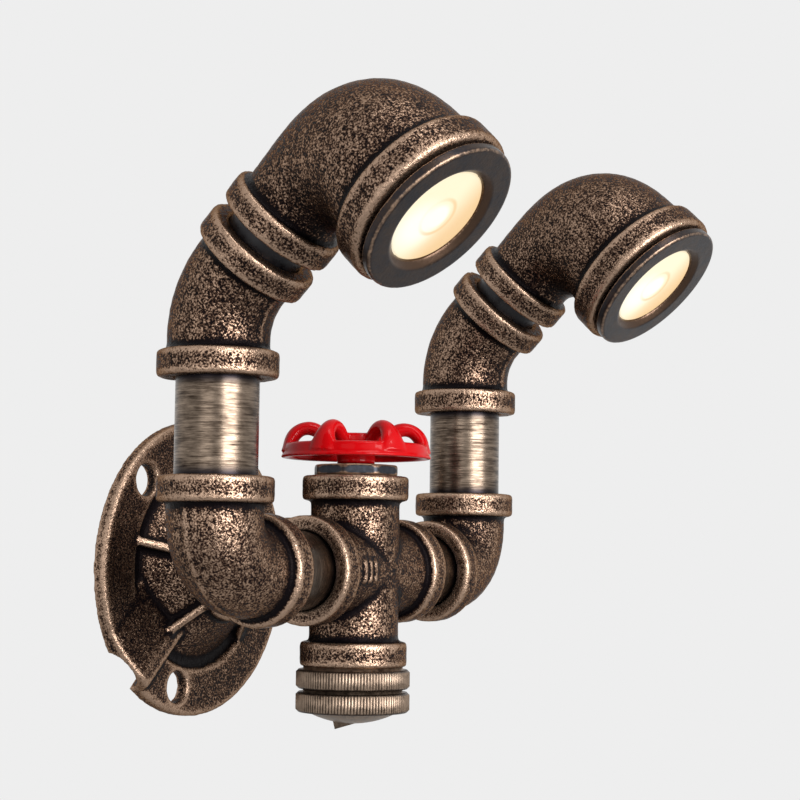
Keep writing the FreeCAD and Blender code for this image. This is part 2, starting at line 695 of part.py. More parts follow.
def wheel_hub():
    """Neck that widens to a boss, with a well for the nut on top."""
    well_r = nut_corner_r() + NUT_WELL_GAP
    floor = WHEEL_HUB_TOP - NUT_WELL_DEPTH
    hub = turned([
        (STEM_TENON_R, -WHEEL_NECK),
        (WHEEL_HUB_R, -WHEEL_NECK),
        (WHEEL_HUB_R, WHEEL_BOSS_FOOT),
        (WHEEL_BOSS_R, WHEEL_BOSS_FOOT + WHEEL_BOSS_FLARE),
        (WHEEL_BOSS_R, WHEEL_HUB_TOP - WHEEL_LIP),
        (WHEEL_BOSS_R - WHEEL_LIP, WHEEL_HUB_TOP),
        (well_r, WHEEL_HUB_TOP),
        (well_r, floor),
        (STEM_TENON_R, floor),
    ])
    return aim(hub, CROSS_CENTRE + Z_AXIS * WHEEL_BASE_Z, Z_AXIS)


def hand_wheel():
    """Six-spoke dished wheel."""
    well = rod(nut_corner_r() + NUT_WELL_GAP, NUT_WELL_DEPTH + CUT_OVER,
               CROSS_CENTRE + Z_AXIS * nut_seat_z(), Z_AXIS)
    wheel = wheel_hub().fuse(wheel_rim())
    for index in range(SPOKE_COUNT):
        wheel = wheel.fuse(wheel_spoke(SPOKE_FIRST_ANGLE + index * 360 / SPOKE_COUNT))
    return wheel.cut(well).removeSplitter()


def wheel_washer():
    base = CROSS_CENTRE + Z_AXIS * nut_seat_z()
    ring = rod(WHEEL_WASHER_R, WHEEL_WASHER_THICK, base, Z_AXIS)
    return ring.cut(rod(STEM_TENON_R, WHEEL_WASHER_THICK, base, Z_AXIS))


def wheel_nut():
    base = CROSS_CENTRE + Z_AXIS * (nut_seat_z() + WHEEL_WASHER_THICK)
    nut = regular_prism(6, nut_corner_r(), WHEEL_NUT_HEIGHT, base, 0)
    return nut.cut(rod(STEM_TENON_R, WHEEL_NUT_HEIGHT, base, Z_AXIS))


# --- Knurled collar and cap ---------------------------------------------------------

def knurled_ring(top_z, height):
    """Straight-knurled disc with chamfered rims, its teeth cut by a formula."""
    corners = []
    for index in range(KNURL_TEETH):
        for part, radius in ((0, KNURL_R), (0.5, KNURL_R - KNURL_DEPTH)):
            turn = (index + part) * 360 / KNURL_TEETH
            corners.append(plan_dir(turn) * radius)
    toothed = Part.Face(Part.makePolygon(corners + corners[:1])).extrude(Z_AXIS * height)
    blank = turned([
        (0, 0),
        (KNURL_R - KNURL_CHAMFER, 0),
        (KNURL_R, KNURL_CHAMFER),
        (KNURL_R, height - KNURL_CHAMFER),
        (KNURL_R - KNURL_CHAMFER, height),
        (0, height),
    ])
    ring = toothed.common(blank)
    ring.translate(CROSS_CENTRE + Z_AXIS * (top_z - height))
    return ring


def bottom_nipple():
    """Nipple from the cross down into the collar and the cap."""
    start = CROSS_CENTRE + Z_AXIS * (-CROSS_REACH + THREAD_DEPTH)
    length = THREAD_DEPTH - CAP_BOTTOM_Z - CROSS_REACH - CAP_WALL
    return pipe(start, Z_AXIS * -1, length)


def knurled_collar():
    """Locknut that jams against the cap, with a plain neck towards the cross."""
    ring = knurled_ring(COLLAR_TOP_Z, COLLAR_HEIGHT)
    neck = rod(KNURL_NECK_R, COLLAR_GAP, CROSS_CENTRE + Z_AXIS * COLLAR_TOP_Z, Z_AXIS)
    bore = rod(SOCKET_R, COLLAR_HEIGHT + COLLAR_GAP,
               CROSS_CENTRE + Z_AXIS * (COLLAR_TOP_Z - COLLAR_HEIGHT), Z_AXIS)
    return ring.fuse(neck).cut(bore).removeSplitter()


def knurled_cap():
    """Closed cap with a shallow dome and a small cast lug underneath."""
    ring = knurled_ring(CAP_TOP_Z, CAP_HEIGHT)
    neck = rod(KNURL_NECK_R, KNURL_GROOVE, CROSS_CENTRE + Z_AXIS * CAP_TOP_Z, Z_AXIS)
    dome_r = (DOME_R ** 2 + DOME_DEPTH ** 2) / (2 * DOME_DEPTH)
    ball_centre = CROSS_CENTRE + Z_AXIS * (CAP_BOTTOM_Z - DOME_DEPTH + dome_r)
    ball = Part.makeSphere(dome_r, ball_centre)
    below = rod(DOME_R + 1, DOME_DEPTH + 0.5,
                CROSS_CENTRE + Z_AXIS * (CAP_BOTTOM_Z - DOME_DEPTH), Z_AXIS)
    bore = rod(SOCKET_R, CAP_HEIGHT + KNURL_GROOVE - CAP_WALL,
               CROSS_CENTRE + Z_AXIS * (CAP_BOTTOM_Z + CAP_WALL), Z_AXIS)
    return ring.fuse([neck, ball.common(below), cap_lug()]).cut(bore).removeSplitter()


def cap_lug():
    """Wedge-shaped lug: steep at one end, running out into the dome at the other."""
    along = plan_dir(LUG_TURN)
    across = plan_dir(LUG_TURN + 90)
    tip_z = CAP_BOTTOM_Z - DOME_DEPTH - LUG_DEPTH + 0.6
    heel = CROSS_CENTRE - along * (LUG_OFFSET + 1.5) + Z_AXIS * CAP_BOTTOM_Z
    tip = CROSS_CENTRE - along * LUG_OFFSET + Z_AXIS * tip_z
    toe = CROSS_CENTRE + along * (LUG_LENGTH - LUG_OFFSET) + Z_AXIS * (CAP_BOTTOM_Z - DOME_DEPTH + 0.8)
    root = CROSS_CENTRE + along * (LUG_LENGTH - LUG_OFFSET) + Z_AXIS * CAP_BOTTOM_Z
    outline = Part.makePolygon([heel, tip, toe, root, heel])
    wedge = Part.Face(outline).extrude(across * LUG_WIDTH)
    wedge.translate(across * (-LUG_WIDTH / 2))
    return wedge


# --- Lamp heads ---------------------------------------------------------------------

def smooth_step(share):
    """Rise from 0 to 1 that starts and ends level."""
    share = min(max(share, 0), 1)
    return share * share * (3 - 2 * share)


def head_back_r(degrees, neck_r, belly_r):
    """Radius of the bend's back: a slow start, a hump, then the belly."""
    rise = smooth_step(degrees / HEAD_SWELL)
    settle = smooth_step((degrees - HEAD_SWELL) / (90 - HEAD_SWELL))
    return neck_r + (belly_r + HEAD_HUMP - neck_r) * rise - HEAD_HUMP * settle


def head_sections(corner, neck_r, belly_r):
    """Round sections from the pipe socket's face along the bend."""
    centre = corner + (TILT_DOWN - TILT_UP) * HEAD_BEND
    wires = [circle_wire(corner - TILT_UP * HEAD_SMALL_REACH, TILT_UP, X_AXIS, neck_r)]
    for index in range(HEAD_STATIONS + 1):
        degrees = 90 * index / HEAD_STATIONS
        swing = math.radians(degrees)
        crotch = HEAD_BEND - neck_r - (belly_r - neck_r) * smooth_step(index / HEAD_STATIONS)
        back = HEAD_BEND + head_back_r(degrees, neck_r, belly_r)
        outward = TILT_UP * math.sin(swing) - TILT_DOWN * math.cos(swing)
        along = TILT_UP * math.cos(swing) + TILT_DOWN * math.sin(swing)
        middle = centre + outward * ((crotch + back) / 2)
        wires.append(circle_wire(middle, along, X_AXIS, (back - crotch) / 2))
    return wires


def head_elbow(side):
    """Reducing elbow: pipe socket behind, big lamp socket in front."""
    corner = head_corner(side)
    small_face = corner - TILT_UP * HEAD_SMALL_REACH
    big_face = corner + TILT_DOWN * HEAD_BIG_REACH
    outer = Part.makeLoft(head_sections(corner, HEAD_NECK_R, HEAD_BELLY_R), True, False)
    inner = Part.makeLoft(head_sections(corner, PIPE_BORE_R, HEAD_BELLY_R - HEAD_WALL), True, False)
    big_leg = rod(HEAD_BELLY_R, HEAD_BIG_REACH - HEAD_BEND, corner + TILT_DOWN * HEAD_BEND, TILT_DOWN)
    bands = [band(UPPER_BAND_R, BAND_WIDTH, BAND_EDGE, small_face, TILT_UP),
             band(HEAD_BAND_R, HEAD_BAND_WIDTH, HEAD_BAND_EDGE, big_face, TILT_DOWN * -1)]
    cuts = [inner,
            rod(PIPE_R + SWIVEL_FIT, THREAD_DEPTH, small_face, TILT_UP),
            rod(LAMP_SOCKET_R, lamp_socket_depth(), big_face, TILT_DOWN * -1)]
    return outer.fuse([big_leg] + bands).cut(cuts)


def lamp_front(side):
    """Centre of the bezel's front face."""
    return head_corner(side) + TILT_DOWN * (HEAD_BIG_REACH + BEZEL_PROUD)


def lamp_bezel(side):
    """Screwed ring: front flange, thread and an inner lip that holds the lens."""
    thread_r = LAMP_SOCKET_R - THREAD_GAP
    length = BEZEL_PROUD + BEZEL_THREAD
    ring = turned([
        (BEZEL_MOUTH_R, 0),
        (BEZEL_R - BEZEL_EDGE, 0),
        (BEZEL_R, BEZEL_EDGE),
        (BEZEL_R, BEZEL_FLANGE),
        (thread_r, BEZEL_FLANGE),
        (thread_r, length),
        (BEZEL_BORE_R, length),
        (BEZEL_BORE_R, BEZEL_MOUTH_DEPTH + BEZEL_LIP),
        (BEZEL_LIP_R, BEZEL_MOUTH_DEPTH + BEZEL_LIP),
        (BEZEL_LIP_R, BEZEL_MOUTH_DEPTH),
    ])
    return aim(ring, lamp_front(side), TILT_DOWN * -1)


def gasket_z():
    return BEZEL_MOUTH_DEPTH + BEZEL_LIP


def lens_z():
    return gasket_z() + LENS_GASKET


def reflector_z():
    return lens_z() + LENS_THICK


def board_z():
    return reflector_z() + REFLECTOR_DEPTH


def sink_z():
    return board_z() + LED_BOARD_THICK


def lamp_socket_depth():
    """From the lamp socket's face to the shoulder that the heat sink's plate seats on."""
    return sink_z() + SINK_PLATE - BEZEL_PROUD


def lens_gasket(side):
    ring = turned([(BEZEL_LIP_R + 0.2, gasket_z()), (LENS_R, gasket_z()),
                   (LENS_R, lens_z()), (BEZEL_LIP_R + 0.2, lens_z())])
    return aim(ring, lamp_front(side), TILT_DOWN * -1)


def lamp_lens(side):
    """Stepped glass: the front boss fills the bezel's mouth."""
    boss_r = BEZEL_LIP_R - 0.15
    glass = turned([
        (0, BEZEL_MOUTH_DEPTH + 0.2),
        (boss_r - 0.5, BEZEL_MOUTH_DEPTH + 0.2),
        (boss_r, BEZEL_MOUTH_DEPTH + 0.7),
        (boss_r, lens_z()),
        (LENS_R, lens_z()),
        (LENS_R, reflector_z()),
        (0, reflector_z()),
    ])
    return aim(glass, lamp_front(side), TILT_DOWN * -1)


def reflector(side):
    """Cone that gathers the light of the chip on to the lens."""
    mouth_r = LENS_R - 2.2
    cone = turned([
        (mouth_r, reflector_z()),
        (LENS_R, reflector_z()),
        (LENS_R, reflector_z() + 1.0),
        (mouth_r + REFLECTOR_WALL, reflector_z() + 1.0),
        (REFLECTOR_SEAT_R + REFLECTOR_WALL, board_z()),
        (REFLECTOR_SEAT_R, board_z()),
    ])
    return aim(cone, lamp_front(side), TILT_DOWN * -1)


def led_board(side):
    board = turned([
        (0, board_z() - LED_CHIP_THICK),
        (LED_CHIP_R, board_z() - LED_CHIP_THICK),
        (LED_CHIP_R, board_z()),
        (LENS_R - 1.0, board_z()),
        (LENS_R - 1.0, sink_z()),
        (0, sink_z()),
    ])
    return aim(board, lamp_front(side), TILT_DOWN * -1)


def heat_sink(side):
    """Plate behind the board with a ring of straight fins."""
    plate = rod(LAMP_SOCKET_R - THREAD_GAP, SINK_PLATE, Z_AXIS * sink_z(), Z_AXIS)
    core = rod(SINK_CORE_R, SINK_HEIGHT, Z_AXIS * sink_z(), Z_AXIS)
    fins = []
    for index in range(SINK_FINS):
        along = plan_dir(index * 360 / SINK_FINS)
        fins.append(slab(LENS_R - 4.0 - SINK_CORE_R + 1.0, SINK_FIN_THICK, SINK_HEIGHT,
                         Z_AXIS * sink_z() + along * (SINK_CORE_R - 1.0), along, Z_AXIS))
    bore = rod(LEAD_R + LEAD_CLEARANCE, 2 * SINK_HEIGHT, Z_AXIS * sink_z(), Z_AXIS)
    sink = plate.fuse([core] + fins).cut(bore).removeSplitter()
    return aim(sink, lamp_front(side), TILT_DOWN * -1)


# --- Wiring -------------------------------------------------------------------------

def block_top():
    return CROSS_CENTRE - Z_AXIS * BLOCK_TOP


def terminal_block():
    """Moulded puck in the bottom nipple, reached by unscrewing the cap."""
    base = block_top() - Z_AXIS * BLOCK_HEIGHT
    puck = round_rims(rod(PIPE_BORE_R - BLOCK_FIT, BLOCK_HEIGHT, base, Z_AXIS), SWITCH_EDGE)
    wells = [rod(BLOCK_WELL_R, BLOCK_WELL_DEPTH, base + terminal_dir(index) * TERMINAL_CIRCLE_R, Z_AXIS)
             for index in range(TERMINAL_COUNT)]
    return puck.cut(wells)


def switch_lead():
    """Straight lead from one terminal of the switch down to the block."""
    terminal = terminal_dir(TERMINAL_COUNT - 1) * TERMINAL_CIRCLE_R
    top = CROSS_CENTRE + terminal + Z_AXIS * (switch_base_z() - PIN_LENGTH)
    bottom = block_top() + terminal
    return rod(LEAD_R, (top - bottom).Length, bottom, Z_AXIS)


def swivel_end(side):
    """Middle of the swivel nipple's inner end, where the two leads meet."""
    return upper_corner(side) + TILT_UP * (UPPER_REACH + SWIVEL_EXPOSED + THREAD_DEPTH)


def riser_lead(side):
    """Lead from the block through run, riser and upper elbow to the swivel."""
    outward = X_AXIS * SIDES[side]
    foot = block_top() + outward * LEAD_OFFSET
    path = [foot, foot + Z_AXIS * BLOCK_TOP, lower_corner(side), upper_corner(side),
            swivel_end(side)]
    return round_bar(path, LEAD_BEND, LEAD_R)


def head_lead(side):
    """Lead from the swivel through the heat sink to the back of the board."""
    board_back = lamp_front(side) - TILT_DOWN * sink_z()
    path = [swivel_end(side) + TILT_UP * LEAD_GAP, head_corner(side), board_back]
    return round_bar(path, LEAD_BEND, LEAD_R)


# --- Build --------------------------------------------------------------------------

def main():
    save("wall_flange", wall_flange())
    save("flange_nipple", flange_nipple())
    save("centre_cross", centre_cross())
    save("bonnet_bushing", bonnet_bushing())
    save("rotary_switch", rotary_switch())
    save("valve_stem", valve_stem())
    save("hand_wheel", hand_wheel())
    save("wheel_washer", wheel_washer())
    save("wheel_nut", wheel_nut())
    save("bottom_nipple", bottom_nipple())
    save("knurled_collar", knurled_collar())
    save("knurled_cap", knurled_cap())
    save("terminal_block", terminal_block())
    save("switch_lead", switch_lead())
    for side in SIDES:
        save("run_nipple_" + side, run_nipple(side))
        save("lower_elbow_" + side, lower_elbow(side))
        save("riser_pipe_" + side, riser_pipe(side))
        save("upper_elbow_" + side, upper_elbow(side))
        save("swivel_nipple_" + side, swivel_nipple(side))
        save("head_elbow_" + side, head_elbow(side))
        save("lamp_bezel_" + side, lamp_bezel(side))
        save("lens_gasket_" + side, lens_gasket(side))
        save("lamp_lens_" + side, lamp_lens(side))
        save("reflector_" + side, reflector(side))
        save("led_board_" + side, led_board(side))
        save("heat_sink_" + side, heat_sink(side))
        save("riser_lead_" + side, riser_lead(side))
        save("head_lead_" + side, head_lead(side))


main()
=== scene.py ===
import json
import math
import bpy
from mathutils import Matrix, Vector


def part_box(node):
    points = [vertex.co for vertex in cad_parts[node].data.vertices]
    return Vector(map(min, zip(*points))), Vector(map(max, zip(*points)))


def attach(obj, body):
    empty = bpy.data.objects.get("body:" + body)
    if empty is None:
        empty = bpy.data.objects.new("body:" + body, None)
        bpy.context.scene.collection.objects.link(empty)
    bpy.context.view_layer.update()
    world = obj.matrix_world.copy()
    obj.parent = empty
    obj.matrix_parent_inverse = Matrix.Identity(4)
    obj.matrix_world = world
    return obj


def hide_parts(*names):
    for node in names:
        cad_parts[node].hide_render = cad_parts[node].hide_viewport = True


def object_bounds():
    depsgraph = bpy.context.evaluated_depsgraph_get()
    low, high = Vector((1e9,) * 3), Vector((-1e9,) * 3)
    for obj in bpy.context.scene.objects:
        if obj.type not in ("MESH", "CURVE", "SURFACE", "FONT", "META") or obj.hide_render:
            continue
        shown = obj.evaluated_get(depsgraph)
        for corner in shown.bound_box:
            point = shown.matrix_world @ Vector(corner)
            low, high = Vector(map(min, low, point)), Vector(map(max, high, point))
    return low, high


bl_info = {
    "name": "Pipe Wall Light",
    "version": (1, 0, 0),
    "blender": (4, 5, 0),
    "location": "View3D > Sidebar > Pipe Light",
    "description": "Dresses a pipe wall light: cast fittings, brushed pipes, hand wheel and spot lamps",
    "category": "Object",
}

import bmesh
import bpy
import numpy as np
from bpy.props import FloatProperty, FloatVectorProperty, IntProperty, PointerProperty
from mathutils import Matrix, Vector, noise

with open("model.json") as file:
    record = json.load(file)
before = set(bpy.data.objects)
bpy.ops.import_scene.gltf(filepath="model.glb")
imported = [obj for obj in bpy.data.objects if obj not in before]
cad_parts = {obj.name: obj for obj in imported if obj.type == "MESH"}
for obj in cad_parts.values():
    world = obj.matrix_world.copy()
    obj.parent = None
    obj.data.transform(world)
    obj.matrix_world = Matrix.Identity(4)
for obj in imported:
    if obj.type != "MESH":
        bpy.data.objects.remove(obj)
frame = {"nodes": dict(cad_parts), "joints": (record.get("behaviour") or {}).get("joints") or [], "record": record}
CAD_BOX = [list(corner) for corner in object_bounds()]

MM = 0.001
SIDES = ("left", "right")
X_AXIS = Vector((1, 0, 0))
Y_AXIS = Vector((0, 1, 0))
Z_AXIS = Vector((0, 0, 1))
BODY_OF = {node: body for body, nodes in frame["record"]["behaviour"]["bodies"].items()
           for node in nodes}
SWIVEL_AXIS = {joint["child"]: Vector(joint["axis"]) for joint in frame["joints"]}


def length(name, text, value):
    """A size in metres that shows in the sidebar with its unit."""
    return FloatProperty(name=name, description=text, default=value, unit="LENGTH", precision=5)


def colour(name, text, value):
    """A linear colour."""
    return FloatVectorProperty(name=name, description=text, default=value, subtype="COLOR",
                               size=3, min=0.0, max=1.0)


def number(name, text, value):
    """A plain factor."""
    return FloatProperty(name=name, description=text, default=value)


# --- What a user may change ---------------------------------------------------------

class CastingSettings(bpy.types.PropertyGroup):
    """Skin and finish of the cast fittings."""
    voxel: length("Skin grid", "Spacing of the points on a casting's skin", 0.62 * MM)
    smoothing: IntProperty(name="Smoothing", default=5, min=0,
                           description="Rounds of smoothing that make the soft fillets")
    swell: length("Sand swell", "Height of the broad unevenness left by the sand mould", 0.09 * MM)
    swell_size: length("Swell width", "Width of that unevenness", 2.6 * MM)
    grain_size: length("Grain", "Width of the fine cast grain", 0.66 * MM)
    grain_depth: length("Grain depth", "Depth of the fine cast grain", 0.24 * MM)
    lump_size: length("Lumps", "Width of the lumps under the grain", 1.716 * MM)
    lump_share: number("Lump share", "Height of the lumps against the grain's", 0.3)
    patch_size: length("Patches", "Width of the areas that are rubbed more than others", 5 * MM)
    patchiness: number("Patchiness", "How much those areas add to the wear", 0.12)
    grain_wear: number("Grain wear", "How much the grain's height adds to the wear", 2.0)
    edge_wear: number("Edge wear", "How much an edge adds to the wear", 0.52)
    # Paint left in the corners is partly the real finish and partly painted shade.
    corner_paint_and_shade: number("Corner paint", "How much a corner takes from the wear", 0.7)
    rub_from: number("Rub from", "Wear at which bronze starts to show", 1.12)
    rub_full: number("Rub full", "Wear at which the paint is gone", 1.66)
    gleam_from: number("Gleam from", "Wear at which bright metal starts to show", 1.32)
    gleam_full: number("Gleam full", "Wear at which only bright metal shows", 1.88)
    wear_reach: IntProperty(name="Wear reach", default=12, min=1,
                            description="Rounds of smoothing that edges are measured against")
    wear_full: length("Full wear", "Rise of an edge at which its paint is gone", 0.15 * MM)
    # In the corners this paint also serves as painted shade.
    paint: colour("Paint", "Black-bronze paint in the hollows", (0.004, 0.003, 0.004))
    bronze: colour("Rubbed bronze", "Copper-brown where the paint is rubbed", (0.068, 0.033, 0.019))
    bright: colour("Bright metal", "Metal on the sharpest tops", (0.41, 0.280, 0.200))
    edge_tint: colour("Edge tint", "Tint of the metal seen edge-on", (0.30, 0.22, 0.17))
    gloss: number("Gloss", "Strength of the paint's own reflection", 0.15)


class PipeSettings(bpy.types.PropertyGroup):
    """Turned and brushed pipes."""
    turns: IntProperty(name="Facets", default=160, min=24, description="Facets round a pipe")
    rows: IntProperty(name="Rows", default=25, min=2, description="Rows of facets along a pipe")
    rim: length("End chamfer", "Chamfer at a pipe's ends", 0.8 * MM)
    screwed_in: length("Screwed in", "Length at each end that sits in a fitting", 12 * MM)
    streak: length("Streak width", "Width of the brush marks along the pipe", 0.50 * MM)
    streak_depth: length("Streak depth", "Depth of the brush marks", 0.03 * MM)
    streak_run: number("Streak run", "Share of its pitch that a brush mark keeps round the pipe", 0.06)
    cloud: length("Clouds", "Width of the broader light and dark bands", 2.5 * MM)
    cloud_run: number("Cloud run", "Share of its pitch that a band keeps round the pipe", 0.35)
    # Painted shade: length of the darker zone beside each fitting, where the fitting shades the pipe.
    shade: length("Dark end", "Length of the darker zone beside a fitting", 4.0 * MM)
    steel: colour("Brushed steel", "Pale metal in the brush marks", (0.285, 0.218, 0.165))
    copper: colour("Brushed bronze", "Dark bronze between the brush marks", (0.020, 0.012, 0.008))
    # Painted shade: the level pipes and the flange stub take a darker copy of the brushed finish, standing in for
    # the shade they lie in.
    run_painted_shade: number("Run darkness", "Share of the brush marks' light that the level pipes keep", 0.45)
    # Painted shade: colour of the darker zone beside each fitting.
    dark: colour("Painted shade", "Tone beside the fittings", (0.014, 0.012, 0.015))
    black: colour("Black", "Black of the swivel nipples", (0.006, 0.006, 0.009))
    black_sheen: colour("Black sheen", "Lighter clouds in that black", (0.014, 0.014, 0.018))


class WheelSettings(bpy.types.PropertyGroup):
    """Hand wheel and the bonnet below it."""
    voxel: length("Skin grid", "Spacing of the points on the wheel's skin", 0.36 * MM)
    smoothing: IntProperty(name="Smoothing", default=6, min=0,
                           description="Rounds of smoothing that make the cast roundings")
    wear_reach: IntProperty(name="Wear reach", default=18, min=1,
                            description="Rounds of smoothing that edges are measured against")
    wear_full: length("Full wear", "Rise of an edge at which its finish is gone", 0.22 * MM)
    enamel: colour("Enamel", "Red enamel", (0.50, 0.002, 0.004))
    # Darker red in random patches where the enamel is thick, and in the corners partly painted shade.
    enamel_dark: colour("Thick enamel", "Red where the enamel pools", (0.40, 0.001, 0.003))
    pool_size: length("Pooling", "Width of the patches where the enamel is thicker", 3.846 * MM)
    ripple: length("Ripple", "Width of the enamel's soft ripple", 2.381 * MM)
    bonnet: colour("Bonnet", "Dark grey of the bonnet", (0.020, 0.022, 0.028))
    bonnet_edge: colour("Bonnet edge", "Brown on the bonnet's rubbed edges", (0.30, 0.19, 0.12))


class KnurlSettings(bpy.types.PropertyGroup):
    """Knurled collar and cap."""
    depth: length("Tooth depth", "Depth over which the paint thickens from tip to root", 0.5 * MM)
    inner_wear: number("Inner wear", "Wear of the faces inside the teeth, such as the dome", 0.55)
    crease: number("Crease", "Angle in degrees over which an edge stays sharp", 32.0)
    pit: length("Pits", "Width of the fine pits in the metal", 0.667 * MM)
    metal: colour("Knurl metal", "Rubbed bronze of the knurl", (0.31, 0.228, 0.168))
    # Between the teeth: paint left there, and painted shade.
    shadow: colour("Knurl shadow", "Paint left between the teeth", (0.045, 0.030, 0.022))


class LampSettings(bpy.types.PropertyGroup):
    """Bezel and lit lens of a lamp head."""
    voxel: length("Skin grid", "Spacing of the points on a bezel's skin", 0.34 * MM)
    smoothing: IntProperty(name="Smoothing", default=4, min=0,
                           description="Rounds of smoothing that round a bezel's edges")
    wear_reach: IntProperty(name="Wear reach", default=9, min=1,
                            description="Rounds of smoothing that edges are measured against")
    wear_full: length("Full wear", "Rise of an edge at which its paint is gone", 0.13 * MM)
    mouth_step: length("Mouth step", "How far the recess's rim lies inside the lens's edge", 1.2 * MM)
    mouth_blur: length("Mouth blur", "Width over which the recess's brown fades in", 0.8 * MM)
    mouth_depth: length("Mouth depth", "Depth to which the recess is brown", 6 * MM)
    chip_core: length("Chip core", "Radius inside which the lens's middle is white", 3.2 * MM)
    chip_edge: length("Chip edge", "Radius at which that white has faded", 5.4 * MM)
    ring: length("Ring", "Radius of the thin ring round the middle", 6.6 * MM)
    ring_core: length("Ring core", "Half width of the ring's full tone", 0.1 * MM)
    ring_edge: length("Ring edge", "Distance from the ring at which its tone has faded", 1.1 * MM)
    flare_core: length("Flare core", "Radius of the white flare beside the middle", 3 * MM)
    flare_edge: length("Flare edge", "Radius at which the flare has faded", 13 * MM)
    bezel: colour("Bezel", "Satin dark bronze", (0.020, 0.019, 0.023))
    stain: colour("Bezel stain", "Brown that shows through in clouds", (0.050, 0.033, 0.025))
    # The recess's brown is partly bronze showing, partly a painted highlight on the chamfer round the lens.
    mouth: colour("Bezel mouth", "Brown of the recess round the lens", (0.075, 0.044, 0.028))
    bezel_edge: colour("Bezel edge", "Rubbed edge of the bezel", (0.42, 0.28, 0.19))
    white: colour("Hot spot", "Light at the middle of the lens", (1.0, 0.985, 0.88))
    cream: colour("Glow", "Light over most of the lens", (0.98, 0.86, 0.60))
    amber: colour("Warm glow", "Light near the lens's lower side", (0.84, 0.56, 0.27))
    glass: colour("Glass", "Tone of the frosted glass itself", (0.12, 0.10, 0.07))
    glow: number("Glow strength", "Strength of the lens's light", 0.96)


class StageSettings(bpy.types.PropertyGroup):
    """Camera, lights and floor."""
    background: number("Background", "Brightness of the plain background", 0.855)
    fill: number("Fill", "Strength of the sky on matt surfaces", 0.14)
    key: number("Key", "Strength of the main light, from the right", 4.0)
    front: number("Front light", "Strength of the light from the front left", 0.35)
    top: number("Top light", "Strength of the light from above", 0.8)
    floor_drop: length("Floor", "How far the floor lies below the light", 190 * MM)
    floor_reach: length("Floor reach", "Radius at which the floor has faded out", 1100 * MM)
    floor_full: length("Full floor", "Radius inside which the floor hides what is below", 495 * MM)
    floor_grain: length("Floor grain", "Width of the floor's faint clouds", 25 * MM)
    floor_dark: colour("Floor tone", "Darker tone of the floor", (0.86, 0.86, 0.86))
    floor_light: colour("Floor clouds", "Lighter tone of the floor", (0.90, 0.90, 0.90))


SETTINGS = {
    "casting": CastingSettings,
    "pipe": PipeSettings,
    "wheel": WheelSettings,
    "knurl": KnurlSettings,
    "lamp": LampSettings,
    "stage": StageSettings,
}


def settings(group):
    """The scene's settings of one group, such as "casting"."""
    return getattr(bpy.context.scene, "pipe_light_" + group)


# --- Measuring the frame ------------------------------------------------------------

def corners(node):
    """Vertices of a node, as an array."""
    mesh = frame["nodes"][node].data
    points = np.zeros(len(mesh.vertices) * 3)
    mesh.vertices.foreach_get("co", points)
    return points.reshape(-1, 3)


def middle(node):
    """Centre of a node's box."""
    low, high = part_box(node)
    return (low + high) / 2


def reach(node, direction):
    """Lowest and highest place of a node along a direction."""
    along = corners(node) @ np.array(direction)
    return along.min(), along.max()


def girth(node, point, axis):
    """Largest distance of a node from an axis."""
    away = corners(node) - np.array(point)
    away -= np.outer(away @ np.array(axis), np.array(axis))
    return np.linalg.norm(away, axis=1).max()


# --- Meshes -------------------------------------------------------------------------

def mesh_from(build, name):
    """Write a bmesh to a new smooth-shaded mesh."""
    mesh = bpy.data.meshes.new(name)
    build.to_mesh(mesh)
    build.free()
    mesh.shade_smooth()
    return mesh


def place(name, mesh, material, *nodes):
    """Make the piece that stands for some nodes of one body."""
    piece = bpy.data.objects.new(name, mesh)
    bpy.context.scene.collection.objects.link(piece)
    mesh.materials.clear()
    mesh.materials.append(material)
    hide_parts(*nodes)
    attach(piece, BODY_OF[nodes[0]])
    return piece


def dress(node, material):
    """Give a node that stays its procedural material."""
    holder = frame["nodes"][node]
    if not holder.material_slots:
        holder.data.materials.append(material)
    for material_slot in holder.material_slots:
        material_slot.material = material
    holder.data.shade_smooth()


def copy_of(node):
    """Copy of a node's mesh with its points merged."""
    build = bmesh.new()
    build.from_mesh(frame["nodes"][node].data)
    bmesh.ops.remove_doubles(build, verts=build.verts, dist=0.001 * MM)
    return mesh_from(build, node + "_copy")


def skin_of(node, voxel, smoothing):
    """Closed skin over a copy of a node, with every edge softened."""
    holder = bpy.data.objects.new(node + "_rough", copy_of(node))
    bpy.context.scene.collection.objects.link(holder)
    remesh = holder.modifiers.new("skin", "REMESH")
    remesh.mode = "VOXEL"
    remesh.voxel_size = voxel
    graph = bpy.context.evaluated_depsgraph_get()
    skin = bpy.data.meshes.new_from_object(holder.evaluated_get(graph))
    bpy.data.objects.remove(holder)
    build = bmesh.new()
    build.from_mesh(skin)
    for _ in range(smoothing):
        bmesh.ops.smooth_vert(build, verts=build.verts, factor=0.5,
                              use_axis_x=True, use_axis_y=True, use_axis_z=True)
    return mesh_from(build, node + "_skin")


def points_of(mesh):
    """Places of a mesh's vertices, as an array."""
    points = np.zeros(len(mesh.vertices) * 3)
    mesh.vertices.foreach_get("co", points)
    return points.reshape(-1, 3)


def normals_of(mesh):
    """Normals of a mesh's vertices, as an array."""
    normals = np.zeros(len(mesh.vertices) * 3)
    mesh.vertex_normals.foreach_get("vector", normals)
    return normals.reshape(-1, 3)


